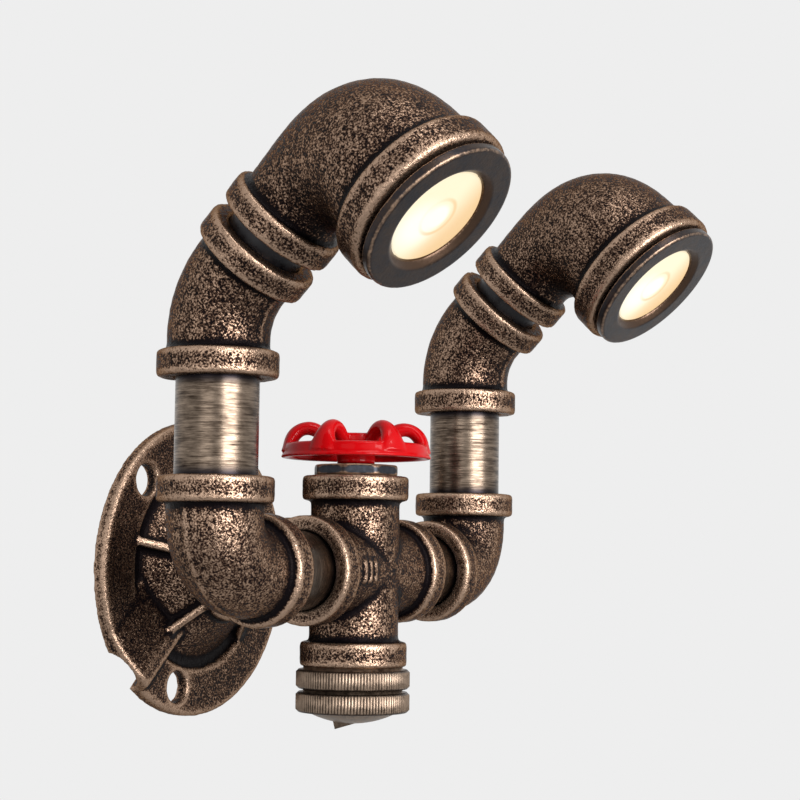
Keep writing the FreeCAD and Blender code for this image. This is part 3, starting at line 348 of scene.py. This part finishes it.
def relaxed(mesh, rounds):
    """The mesh's points after rounds of averaging with their neighbours."""
    ends = np.zeros(len(mesh.edges) * 2, dtype=np.int64)
    mesh.edges.foreach_get("vertices", ends)
    ends = ends.reshape(-1, 2)
    count = len(mesh.vertices)
    degree = np.bincount(ends.ravel(), minlength=count).clip(min=1)
    points = points_of(mesh)
    for _ in range(rounds):
        total = np.empty_like(points)
        for axis in range(3):
            column = points[:, axis]
            total[:, axis] = (np.bincount(ends[:, 0], weights=column[ends[:, 1]], minlength=count)
                              + np.bincount(ends[:, 1], weights=column[ends[:, 0]], minlength=count))
        points = 0.5 * points + 0.5 * total / degree[:, None]
    return points


def mark(mesh, name, values):
    """Store one number per vertex for the material to read."""
    attribute = mesh.attributes.new(name, "FLOAT", "POINT")
    attribute.data.foreach_set("value", np.asarray(values, dtype=np.float32))


def mark_wear(mesh, rounds, full):
    """Mark edges that stand out ("rub") and corners that lie deep ("hollow")."""
    rise = ((points_of(mesh) - relaxed(mesh, rounds)) * normals_of(mesh)).sum(axis=1)
    mark(mesh, "rub", (rise / full).clip(0, 1))
    mark(mesh, "hollow", (-rise / full).clip(0, 1))


def roughen(mesh, height, width):
    """Push a skin in and out by a soft noise and a finer, weaker one, as a sand mould does."""
    points = points_of(mesh)
    lift = np.array([noise.noise(Vector(point) / width) + 0.5 * noise.noise(Vector(point) * 2.2 / width)
                     for point in points])
    points += normals_of(mesh) * (lift * height)[:, None]
    mesh.vertices.foreach_set("co", points.ravel())
    mesh.update()


def lathe(outline, turns, base, axis):
    """Turn a closed (radius, height) outline about an axis that starts at base."""
    build = bmesh.new()
    ring = [build.verts.new((radius, 0, height)) for radius, height in outline]
    edges = [build.edges.new((ring[index - 1], ring[index])) for index in range(len(ring))]
    bmesh.ops.spin(build, geom=ring + edges, cent=(0, 0, 0), axis=(0, 0, 1),
                   angle=2 * math.pi, steps=turns, use_merge=True)
    bmesh.ops.remove_doubles(build, verts=build.verts, dist=0.0001 * MM)
    bmesh.ops.dissolve_degenerate(build, edges=build.edges, dist=0.0001 * MM)
    bmesh.ops.recalc_face_normals(build, faces=build.faces)
    turn = Z_AXIS.rotation_difference(axis).to_matrix().to_4x4()
    bmesh.ops.transform(build, matrix=Matrix.Translation(base) @ turn, verts=build.verts)
    return build


# --- Materials ----------------------------------------------------------------------

# Between these lie most of the values of a noise
NOISE_LOW = 0.3
NOISE_HIGH = 0.7

# Middle of the lens's white flare, a painted highlight, in mm to the right, along and up from the lens's middle
FLARE_PLACE = (-6.0, 0.0, -5.0)


def wire(tree, kind, inputs=None, **options):
    """Add a node, set its options, and set or link its inputs."""
    node = tree.nodes.new(kind)
    for key, value in options.items():
        setattr(node, key, value)
    for key, value in (inputs or {}).items():
        if isinstance(value, bpy.types.NodeSocket):
            tree.links.new(value, node.inputs[key])
        else:
            node.inputs[key].default_value = value
    return node


def blank(name):
    """A new material with a principled shader."""
    material = bpy.data.materials.new(name)
    material.use_nodes = True
    tree = material.node_tree
    tree.nodes.clear()
    shader = wire(tree, "ShaderNodeBsdfPrincipled")
    wire(tree, "ShaderNodeOutputMaterial", {"Surface": shader.outputs["BSDF"]})
    return material, tree, shader


def object_place(tree):
    """Place on the object, in metres."""
    return wire(tree, "ShaderNodeTexCoord").outputs["Object"]


def stretched(tree, spot, scale, rotation=(0, 0, 0)):
    """A place scaled along each axis and then turned."""
    mapping = wire(tree, "ShaderNodeMapping", {"Vector": spot, "Scale": scale, "Rotation": rotation})
    return mapping.outputs["Vector"]


def grain(tree, spot, size, detail=4.0, rough=0.55):
    """Noise with lumps of a given size."""
    texture = wire(tree, "ShaderNodeTexNoise",
                   {"Vector": spot, "Scale": 1 / size, "Detail": detail, "Roughness": rough})
    return texture.outputs[0]


def mark_value(tree, name):
    """The number that mark() stored under a name."""
    return wire(tree, "ShaderNodeAttribute", attribute_name=name).outputs["Fac"]


def calc(tree, operation, a, b=0.0):
    """One step of arithmetic."""
    return wire(tree, "ShaderNodeMath", {0: a, 1: b}, operation=operation).outputs[0]


def weighted(tree, *terms):
    """Sum of socket times weight."""
    total = None
    for socket, weight in terms:
        term = calc(tree, "MULTIPLY", socket, weight)
        total = term if total is None else calc(tree, "ADD", total, term)
    return total


def between(tree, value, low, high, to_low=0.0, to_high=1.0):
    """Map a range smoothly and clamp it."""
    mapped = wire(tree, "ShaderNodeMapRange",
                  {"Value": value, "From Min": low, "From Max": high,
                   "To Min": to_low, "To Max": to_high}, interpolation_type="SMOOTHSTEP")
    return mapped.outputs["Result"]


def blend_colour(tree, factor, first, second):
    """Mix two colours, each a socket or a plain colour."""
    mix = wire(tree, "ShaderNodeMix", data_type="RGBA")
    for index, value in ((0, factor), (6, first), (7, second)):
        if isinstance(value, bpy.types.NodeSocket):
            tree.links.new(value, mix.inputs[index])
        else:
            mix.inputs[index].default_value = (*value, 1) if index else value
    return mix.outputs[2]


def bump(tree, height, depth, strength=1.0):
    """Normal of a surface with a given relief."""
    return wire(tree, "ShaderNodeBump", {"Height": height, "Distance": depth,
                                         "Strength": strength}).outputs["Normal"]


def clouded(tree, cloud, low, high):
    """Spread a noise smoothly from one value to another."""
    return between(tree, cloud, NOISE_LOW, NOISE_HIGH, low, high)


def link(tree, shader, **sockets):
    """Link sockets to shader inputs; an underscore stands for a space."""
    for key, socket in sockets.items():
        tree.links.new(socket, shader.inputs[key.replace("_", " ")])


def cast_bronze_paint():
    """Rough casting: black-bronze paint in the pits, rubbed to copper on the tops of the grain."""
    look = settings("casting")
    material, tree, shader = blank("Cast bronze paint")
    spot = object_place(tree)
    fine = grain(tree, spot, look.grain_size, detail=2.5, rough=0.55)
    lump = grain(tree, spot, look.lump_size, detail=2.0, rough=0.5)
    patch = clouded(tree, grain(tree, spot, look.patch_size, detail=3.0, rough=0.6), 0.0, 1.0)
    relief = weighted(tree, (fine, 1.0), (lump, look.lump_share))
    # The hollow mark holds paint in the corners: partly the real finish, partly painted shade.
    worn = weighted(tree, (relief, look.grain_wear), (patch, look.patchiness),
                    (mark_value(tree, "rub"), look.edge_wear),
                    (mark_value(tree, "hollow"), -look.corner_paint_and_shade))
    rubbed = between(tree, worn, look.rub_from, look.rub_full)
    gleam = between(tree, worn, look.gleam_from, look.gleam_full)
    tone = blend_colour(tree, rubbed, look.paint, look.bronze)
    tone = blend_colour(tree, gleam, tone, look.bright)
    link(tree, shader, Base_Color=tone,
         Metallic=between(tree, rubbed, 0.0, 1.0, to_low=0.25, to_high=0.90),
         Roughness=between(tree, rubbed, 0.0, 1.0, to_low=0.34, to_high=0.26),
         Normal=bump(tree, relief, look.grain_depth))
    shader.inputs["Specular IOR Level"].default_value = look.gloss
    shader.inputs["Specular Tint"].default_value = (*look.edge_tint, 1)
    return material


def brushed_pipe(name, rotation=(0, 0, 0), shaded_to=1.0):
    """Brushed pipe, its marks running round the pipe and darker towards the fittings as painted shade; rotation
    lays the pipe along Z, and the last argument darkens the brush marks as painted shade for pipes that lie in
    shade.
    """
    look = settings("pipe")
    # Painted shade: the brush marks are darkened for pipes that lie in shade.
    steel = tuple(value * shaded_to for value in look.steel)
    material, tree, shader = blank(name)
    spot = stretched(tree, object_place(tree), (1, 1, 1), rotation)
    marks = stretched(tree, spot, (look.streak_run, look.streak_run, 1.0))
    streak = grain(tree, marks, look.streak, detail=5.0, rough=0.65)
    bands = stretched(tree, spot, (look.cloud_run, look.cloud_run, 1.0))
    broad = grain(tree, bands, look.cloud, detail=3.0, rough=0.6)
    shown = between(tree, weighted(tree, (streak, 0.8), (broad, 0.5)), 0.42, 0.92)
    tone = blend_colour(tree, shown, look.copper, steel)
    # Painted shade: darker towards each fitting, where the fitting shades the pipe.
    shaded = between(tree, weighted(tree, (mark_value(tree, "end"), 1.0), (streak, 0.5)), 0.35, 1.15)
    relief = weighted(tree, (streak, 1.0), (broad, 1.0))
    link(tree, shader, Base_Color=blend_colour(tree, shaded, tone, look.dark),
         Roughness=clouded(tree, streak, 0.34, 0.25),
         Normal=bump(tree, relief, look.streak_depth))
    shader.inputs["Metallic"].default_value = 1.0
    return material


def satin(name, tone, other, rough=0.4, metallic=0.6, size=3 * MM, depth=0.03 * MM):
    """Plain satin surface with a slight cloudiness, for small and inner pieces."""
    material, tree, shader = blank(name)
    spot = object_place(tree)
    cloud = grain(tree, spot, size, rough=0.6)
    link(tree, shader, Base_Color=blend_colour(tree, clouded(tree, cloud, 0.0, 1.0), tone, other),
         Roughness=clouded(tree, cloud, rough * 0.85, rough * 1.15),
         Normal=bump(tree, grain(tree, spot, size / 6, detail=3.0), depth))
    shader.inputs["Metallic"].default_value = metallic
    return material


def worn_satin(name, tone, edge, full=(0.35, 0.8), rough=0.36, metallic=0.75, lift=1.7):
    """Satin metal whose marked edges are rubbed bright."""
    material, tree, shader = blank(name)
    cloud = grain(tree, object_place(tree), 1.6 * MM, rough=0.6)
    rubbed = between(tree, weighted(tree, (mark_value(tree, "rub"), 1.0), (cloud, 0.35)), *full)
    lifted = tuple(min(1.0, value * lift) for value in tone)
    body = blend_colour(tree, between(tree, cloud, 0.35, 0.7), tone, lifted)
    link(tree, shader, Base_Color=blend_colour(tree, rubbed, body, edge),
         Roughness=clouded(tree, cloud, rough * 0.85, rough * 1.15),
         Normal=bump(tree, cloud, 0.04 * MM))
    shader.inputs["Metallic"].default_value = metallic
    return material


def red_enamel():
    """Glossy red enamel, darker in the corners where it thickens and as painted shade."""
    look = settings("wheel")
    material, tree, shader = blank("Red enamel")
    spot = object_place(tree)
    # Darker in random patches of thick enamel, and in the corners partly as painted shade.
    pool_and_shade = weighted(tree, (mark_value(tree, "hollow"), 0.8),
                    (grain(tree, spot, look.pool_size, detail=2.0), 0.35))
    link(tree, shader,
         Base_Color=blend_colour(tree, between(tree, pool_and_shade, 0.15, 0.8), look.enamel, look.enamel_dark),
         Normal=bump(tree, grain(tree, spot, look.ripple, detail=2.0), 0.05 * MM, strength=0.6))
    shader.inputs["Roughness"].default_value = 0.30
    shader.inputs["Specular IOR Level"].default_value = 0.05
    shader.inputs["Coat Weight"].default_value = 0.20
    shader.inputs["Coat Roughness"].default_value = 0.05
    return material


def knurled_bronze():
    """Knurl: tooth tops rubbed bright; between the teeth, paint left there and painted shade."""
    look = settings("knurl")
    material, tree, shader = blank("Knurled bronze")
    spot = object_place(tree)
    cloud = grain(tree, spot, 2.2 * MM, rough=0.65)
    # Between the teeth: paint left there, and painted shade.
    shown = between(tree, weighted(tree, (mark_value(tree, "rub"), 0.8), (cloud, 0.9)), 0.5, 1.1)
    link(tree, shader, Base_Color=blend_colour(tree, shown, look.shadow, look.metal),
         Roughness=clouded(tree, cloud, 0.30, 0.45),
         Normal=bump(tree, grain(tree, spot, look.pit, detail=3.0), 0.05 * MM))
    shader.inputs["Metallic"].default_value = 0.9
    return material


def lens_light(side):
    """Lit frosted lens: a hot middle and a thin ring round it, with a painted highlight: a white flare beside the
    middle and a warmer lower side, as the lit lens looks from one side.
    """
    look = settings("lamp")
    material, tree, shader = blank("Lens light " + side)
    tilt = Z_AXIS.angle(SWIVEL_AXIS["lamp_head_" + side])
    seat = middle("lens_gasket_" + side)
    centred = wire(tree, "ShaderNodeVectorMath", {0: object_place(tree), 1: tuple(seat)},
                   operation="SUBTRACT").outputs[0]
    flat = stretched(tree, centred, (1 / MM, 1 / MM, 1 / MM), (-tilt, 0, 0))
    parts = wire(tree, "ShaderNodeSeparateXYZ", {0: flat})
    right, up = parts.outputs[0], parts.outputs[2]
    radius = calc(tree, "SQRT", calc(tree, "ADD", calc(tree, "MULTIPLY", right, right),
                                     calc(tree, "MULTIPLY", up, up)))
    # Painted shading: warmer towards the lower side, as the lens looks from one side.
    warm = weighted(tree, (right, 0.060), (up, -0.012), (radius, 0.012))
    tone = blend_colour(tree, between(tree, warm, 0.0, 0.95), look.cream, look.amber)
    # Painted highlight: the white flare beside the middle.
    flare = wire(tree, "ShaderNodeVectorMath", {0: flat, 1: FLARE_PLACE}, operation="DISTANCE")
    flared = between(tree, flare.outputs["Value"], look.flare_core / MM, look.flare_edge / MM, 1.0, 0.0)
    tone = blend_colour(tree, flared, tone, look.white)
    near_ring = calc(tree, "ABSOLUTE", calc(tree, "SUBTRACT", radius, look.ring / MM))
    ring = between(tree, near_ring, look.ring_core / MM, look.ring_edge / MM, 0.85, 0.0)
    off_flare = between(tree, right, -6.0, 4.0, 0.15, 1.0)
    tone = blend_colour(tree, calc(tree, "MULTIPLY", ring, off_flare), tone, look.amber)
    chip = between(tree, radius, look.chip_core / MM, look.chip_edge / MM, 1.0, 0.0)
    link(tree, shader, Emission_Color=blend_colour(tree, chip, tone, look.white))
    shader.inputs["Base Color"].default_value = (*look.glass, 1)
    shader.inputs["Emission Strength"].default_value = look.glow
    shader.inputs["Roughness"].default_value = 0.3
    return material


# --- Pieces -------------------------------------------------------------------------

class PIPELIGHT_OT_castings(bpy.types.Operator):
    """Skin the flange, the cross and the six elbows as rough castings"""
    bl_idname = "pipe_light.castings"
    bl_label = "Castings"

    def execute(self, context):
        look = settings("casting")
        finish = cast_bronze_paint()
        nodes = ["wall_flange", "centre_cross"]
        for side in SIDES:
            nodes += ["lower_elbow_" + side, "upper_elbow_" + side, "head_elbow_" + side]
        for node in nodes:
            mesh = skin_of(node, look.voxel, look.smoothing)
            mark_wear(mesh, look.wear_reach, look.wear_full)
            roughen(mesh, look.swell, look.swell_size)
            place(node + "_casting", mesh, finish, node)
        return {"FINISHED"}


def pipe_wall():
    """Wall of the pipe, from the ring of points at a riser's end."""
    node = "riser_pipe_left"
    away = corners(node) - np.array(middle(node))
    out = np.hypot(away[:, 0], away[:, 1])
    return out.max() - out.min()


def pipe_mesh(node, axis):
    """Turned pipe with chamfered ends, marked where it runs into its fittings."""
    look = settings("pipe")
    centre = middle(node)
    low, high = reach(node, axis)
    size = high - low
    outer = girth(node, centre, axis)
    bore = outer - pipe_wall()
    outline = [(bore, 0), (outer - look.rim, 0)]
    outline += [(outer, look.rim + (size - 2 * look.rim) * row / look.rows)
                for row in range(look.rows + 1)]
    outline += [(outer - look.rim, size), (bore, size)]
    base = centre + axis * (low - centre.dot(axis))
    mesh = mesh_from(lathe(outline, look.turns, base, axis), node + "_turned")
    along = points_of(mesh) @ np.array(axis)
    bare = np.minimum(along - low, high - along) - look.screwed_in
    # The end mark carries the painted shade beside the fittings.
    mark(mesh, "end", (1 - bare / look.shade).clip(0, 1))
    return mesh


class PIPELIGHT_OT_pipes(bpy.types.Operator):
    """Turn the pipes and nipples and brush them"""
    bl_idname = "pipe_light.pipes"
    bl_label = "Pipes"

    def execute(self, context):
        look = settings("pipe")
        quarter = math.radians(90)
        upright = brushed_pipe("Brushed riser")
        # Painted shade: the level run pipes and the flange stub get darker copies of the brushed finish.
        level = brushed_pipe("Brushed run in painted shade", (0, quarter, 0), look.run_painted_shade)
        deep = brushed_pipe("Brushed stub in painted shade", (quarter, 0, 0), look.run_painted_shade)
        black = satin("Black nipple", tuple(look.black), tuple(look.black_sheen), 0.30, 0.3)
        jobs = [("flange_nipple", Y_AXIS, deep), ("bottom_nipple", Z_AXIS, upright)]
        for side in SIDES:
            jobs.append(("run_nipple_" + side, X_AXIS, level))
            jobs.append(("riser_pipe_" + side, Z_AXIS, upright))
            jobs.append(("swivel_nipple_" + side, SWIVEL_AXIS["lamp_head_" + side], black))
        for node, axis, finish in jobs:
            place(node + "_turned", pipe_mesh(node, axis), finish, node)
        return {"FINISHED"}


class PIPELIGHT_OT_wheel(bpy.types.Operator):
    """Cast the hand wheel in red enamel and finish its stem, nut and bonnet"""
    bl_idname = "pipe_light.wheel"
    bl_label = "Hand wheel"

    def execute(self, context):
        look = settings("wheel")
        enamel = red_enamel()
        grey = worn_satin("Bonnet grey", tuple(look.bonnet), tuple(look.bonnet_edge), (0.50, 0.95))
        for node, finish in (("hand_wheel", enamel), ("bonnet_bushing", grey)):
            mesh = skin_of(node, look.voxel, look.smoothing)
            mark_wear(mesh, look.wear_reach, look.wear_full)
            place(node + "_skin", mesh, finish, node)
        dress("wheel_nut", enamel)
        dress("wheel_washer", enamel)
        dress("valve_stem", satin("Turned brass", (0.50, 0.34, 0.13), (0.60, 0.43, 0.18), 0.3, 1.0))
        return {"FINISHED"}


def knurl_mesh(node):
    """Copy of a knurled ring, creased at its teeth and marked from root to tip."""
    look = settings("knurl")
    mesh = copy_of(node)
    mesh.set_sharp_from_angle(angle=math.radians(look.crease))
    centre = middle(node)
    flat = points_of(mesh) - np.array(centre)
    out = np.hypot(flat[:, 0], flat[:, 1])
    worn = (1 - (out.max() - out) / look.depth).clip(0, 1)
    worn[out < out.max() - 2 * look.depth] = look.inner_wear
    mark(mesh, "rub", worn)
    return mesh


class PIPELIGHT_OT_knurls(bpy.types.Operator):
    """Finish the knurled collar and cap under the cross"""
    bl_idname = "pipe_light.knurls"
    bl_label = "Knurled rings"

    def execute(self, context):
        finish = knurled_bronze()
        for node in ("knurled_collar", "knurled_cap"):
            place(node + "_ring", knurl_mesh(node), finish, node)
        return {"FINISHED"}


def mark_mouth(mesh, front, shine, mouth):
    """Mark the recess of a bezel, from its flat face's inner edge to the lens."""
    look = settings("lamp")
    away = points_of(mesh) - np.array(front)
    depth = -(away @ np.array(shine))
    out = np.linalg.norm(away + np.outer(depth, np.array(shine)), axis=1)
    inside = ((mouth - out) / look.mouth_blur + 0.5).clip(0, 1)
    mark(mesh, "mouth", inside * (depth < look.mouth_depth))


def bezel_bronze():
    """Satin dark bronze with a rubbed rim, and a lighter brown recess round the lens: bronze showing there, with a
    painted highlight on the chamfer.
    """
    look = settings("lamp")
    material, tree, shader = blank("Bezel bronze")
    spot = object_place(tree)
    cloud = grain(tree, spot, 1.1 * MM, rough=0.65)
    patch = grain(tree, spot, 7 * MM, detail=3.0, rough=0.6)
    rubbed = between(tree, weighted(tree, (mark_value(tree, "rub"), 1.0), (cloud, 0.6)), 0.75, 1.15)
    stained = between(tree, weighted(tree, (cloud, 0.6), (patch, 0.9)), 0.54, 0.98)
    tone = blend_colour(tree, stained, look.bezel, look.stain)
    # In part a painted highlight: the lighter brown of the recess round the lens.
    tone = blend_colour(tree, mark_value(tree, "mouth"), tone, look.mouth)
    link(tree, shader, Base_Color=blend_colour(tree, rubbed, tone, look.bezel_edge),
         Roughness=clouded(tree, cloud, 0.30, 0.40),
         Normal=bump(tree, cloud, 0.06 * MM))
    shader.inputs["Metallic"].default_value = 0.85
    return material


class PIPELIGHT_OT_lamps(bpy.types.Operator):
    """Skin the bezels, light the lenses and finish the parts inside the heads"""
    bl_idname = "pipe_light.lamps"
    bl_label = "Lamps"

    def execute(self, context):
        look = settings("lamp")
        ring_finish = bezel_bronze()
        inner = {
            "lens_gasket_": satin("Gasket rubber", (0.015, 0.015, 0.016), (0.025, 0.025, 0.026), 0.7, 0.0),
            "reflector_": satin("Reflector mirror", (0.80, 0.80, 0.80), (0.88, 0.88, 0.88), 0.08, 1.0),
            "led_board_": satin("White board", (0.72, 0.72, 0.68), (0.78, 0.78, 0.74), 0.45, 0.0),
            "heat_sink_": satin("Sink alloy", (0.52, 0.52, 0.54), (0.62, 0.62, 0.64), 0.4, 1.0),
        }
        for side in SIDES:
            shine = X_AXIS.cross(SWIVEL_AXIS["lamp_head_" + side]).normalized()
            seat = middle("lens_gasket_" + side)
            bezel = "lamp_bezel_" + side
            front = seat + shine * (reach(bezel, shine)[1] - seat.dot(shine))
            mesh = skin_of(bezel, look.voxel, look.smoothing)
            mark_wear(mesh, look.wear_reach, look.wear_full)
            mark_mouth(mesh, front, shine, girth("lamp_lens_" + side, seat, shine) - look.mouth_step)
            place(bezel + "_ring", mesh, ring_finish, bezel)
            dress("lamp_lens_" + side, lens_light(side))
            for name, finish in inner.items():
                dress(name + side, finish)
        return {"FINISHED"}


class PIPELIGHT_OT_wiring(bpy.types.Operator):
    """Finish the switch, the terminal block and the leads inside the pipes"""
    bl_idname = "pipe_light.wiring"
    bl_label = "Wiring"

    def execute(self, context):
        plastic = satin("Black plastic", (0.02, 0.02, 0.022), (0.035, 0.035, 0.04), 0.5, 0.0)
        jacket = satin("Lead jacket", (0.025, 0.025, 0.028), (0.04, 0.04, 0.044), 0.55, 0.0)
        for node in ("rotary_switch", "terminal_block"):
            dress(node, plastic)
        dress("switch_lead", jacket)
        for side in SIDES:
            dress("riser_lead_" + side, jacket)
            dress("head_lead_" + side, jacket)
        return {"FINISHED"}


# --- Stage --------------------------------------------------------------------------

# The camera's place, its axes and its lens and sensor in mm
CAMERA_PLACE = Vector((-0.56804, -0.43514, 0.003845))
CAMERA_BACK = Vector((-0.85223, -0.51644, -0.08367))
CAMERA_RIGHT = Vector((0.51729, -0.85571, 0.01277))
CAMERA_UP = Vector((-0.07819, -0.03240, 0.99641))
CAMERA_LENS = 85.98
CAMERA_SENSOR = 36.0
CAMERA_NEAR = 10 * MM

# Where each softbox stands, along the camera's right, up and back, and its width in degrees
KEY_FROM = (0.66, 0.22, 0.72)
KEY_WIDTH = 42
FRONT_FROM = (-0.38, 0.14, 0.91)
FRONT_WIDTH = 34
TOP_FROM = (0.25, 0.90, 0.36)
TOP_WIDTH = 26


def make_camera():
    """Stand the camera in its place and look through it."""
    lens = bpy.data.cameras.new("Camera")
    lens.sensor_width = CAMERA_SENSOR
    lens.lens = CAMERA_LENS
    lens.clip_start = CAMERA_NEAR
    camera = bpy.data.objects.new("Camera", lens)
    bpy.context.scene.collection.objects.link(camera)
    turn = Matrix((CAMERA_RIGHT, CAMERA_UP, CAMERA_BACK)).transposed().to_4x4()
    camera.matrix_world = Matrix.Translation(CAMERA_PLACE) @ turn
    bpy.context.scene.camera = camera


def make_sun(name, place_from, width, strength):
    """A distant round softbox; its direction is given along the camera's axes."""
    right, up, back = place_from
    lamp = bpy.data.lights.new(name, "SUN")
    lamp.energy = strength
    lamp.angle = math.radians(width)
    holder = bpy.data.objects.new(name, lamp)
    bpy.context.scene.collection.objects.link(holder)
    from_side = CAMERA_RIGHT * right + CAMERA_UP * up + CAMERA_BACK * back
    holder.rotation_mode = "QUATERNION"
    holder.rotation_quaternion = from_side.to_track_quat("Z", "Y")


def seen_ray(tree):
    """1 for rays from the camera, from gloss and through glass."""
    path = wire(tree, "ShaderNodeLightPath")
    seen = calc(tree, "MAXIMUM", path.outputs["Is Camera Ray"], path.outputs["Is Glossy Ray"])
    return calc(tree, "MAXIMUM", seen, path.outputs["Is Transmission Ray"])


def make_world():
    """Pale background for what is seen, and a faint even light for the rest."""
    look = settings("stage")
    world = bpy.data.worlds.new("Pale studio")
    world.use_nodes = True
    tree = world.node_tree
    tree.nodes.clear()
    strength = between(tree, seen_ray(tree), 0.0, 1.0, look.fill, look.background)
    sky = wire(tree, "ShaderNodeBackground", {"Color": (1, 1, 1, 1), "Strength": strength})
    wire(tree, "ShaderNodeOutputWorld", {"Surface": sky.outputs["Background"]})
    bpy.context.scene.world = world


def floor_finish():
    """Pale matt floor that thins out to nothing with distance."""
    look = settings("stage")
    material = bpy.data.materials.new("Pale floor")
    material.use_nodes = True
    tree = material.node_tree
    tree.nodes.clear()
    spot = object_place(tree)
    away = wire(tree, "ShaderNodeVectorMath", {0: spot}, operation="LENGTH").outputs["Value"]
    shown = between(tree, away, look.floor_full, look.floor_reach, 1.0, 0.0)
    dust = grain(tree, spot, look.floor_grain, detail=3.0)
    tone = blend_colour(tree, dust, look.floor_dark, look.floor_light)
    matt = wire(tree, "ShaderNodeBsdfDiffuse", {"Color": tone}).outputs[0]
    clear = wire(tree, "ShaderNodeBsdfTransparent").outputs[0]
    surface = wire(tree, "ShaderNodeMixShader", {0: shown, 1: clear, 2: matt}).outputs[0]
    wire(tree, "ShaderNodeOutputMaterial", {"Surface": surface})
    return material


class PIPELIGHT_OT_stage(bpy.types.Operator):
    """Set up the camera, the lights, the background and the floor"""
    bl_idname = "pipe_light.stage"
    bl_label = "Stage"

    def execute(self, context):
        look = settings("stage")
        make_camera()
        make_world()
        make_sun("Key", KEY_FROM, KEY_WIDTH, look.key)
        make_sun("Front", FRONT_FROM, FRONT_WIDTH, look.front)
        make_sun("Top", TOP_FROM, TOP_WIDTH, look.top)
        build = bmesh.new()
        bmesh.ops.create_circle(build, cap_ends=True, segments=96, radius=look.floor_reach)
        mesh = mesh_from(build, "Floor")
        mesh.materials.append(floor_finish())
        floor = bpy.data.objects.new("Floor", mesh)
        floor.location.z = CAD_BOX[0][2] - look.floor_drop
        bpy.context.scene.collection.objects.link(floor)
        context.scene.view_settings.view_transform = "Standard"
        return {"FINISHED"}


# --- Sidebar and run ----------------------------------------------------------------

OPERATORS = (PIPELIGHT_OT_castings, PIPELIGHT_OT_pipes, PIPELIGHT_OT_wheel,
             PIPELIGHT_OT_knurls, PIPELIGHT_OT_lamps, PIPELIGHT_OT_wiring, PIPELIGHT_OT_stage)


class PIPELIGHT_PT_sidebar(bpy.types.Panel):
    """Lists the operators and their settings"""
    bl_idname = "PIPELIGHT_PT_sidebar"
    bl_label = "Pipe wall light"
    bl_space_type = "VIEW_3D"
    bl_region_type = "UI"
    bl_category = "Pipe Light"

    def draw(self, context):
        for operator in OPERATORS:
            self.layout.operator(operator.bl_idname)
        for group, kind in SETTINGS.items():
            box = self.layout.box()
            box.label(text=kind.__doc__)
            for name in kind.__annotations__:
                box.prop(settings(group), name)


CLASSES = (*SETTINGS.values(), *OPERATORS, PIPELIGHT_PT_sidebar)


def register():
    """Register the classes and put their settings on the scene."""
    for kind in CLASSES:
        bpy.utils.register_class(kind)
    for group, kind in SETTINGS.items():
        setattr(bpy.types.Scene, "pipe_light_" + group, PointerProperty(type=kind))


def unregister():
    """Take the settings and the classes away again."""
    for group in SETTINGS:
        delattr(bpy.types.Scene, "pipe_light_" + group)
    for kind in reversed(CLASSES):
        bpy.utils.unregister_class(kind)


def main():
    """Build the scene."""
    register()
    bpy.ops.pipe_light.stage()
    bpy.ops.pipe_light.castings()
    bpy.ops.pipe_light.pipes()
    bpy.ops.pipe_light.wheel()
    bpy.ops.pipe_light.knurls()
    bpy.ops.pipe_light.lamps()
    bpy.ops.pipe_light.wiring()


if __name__ == "__main__":
    main()
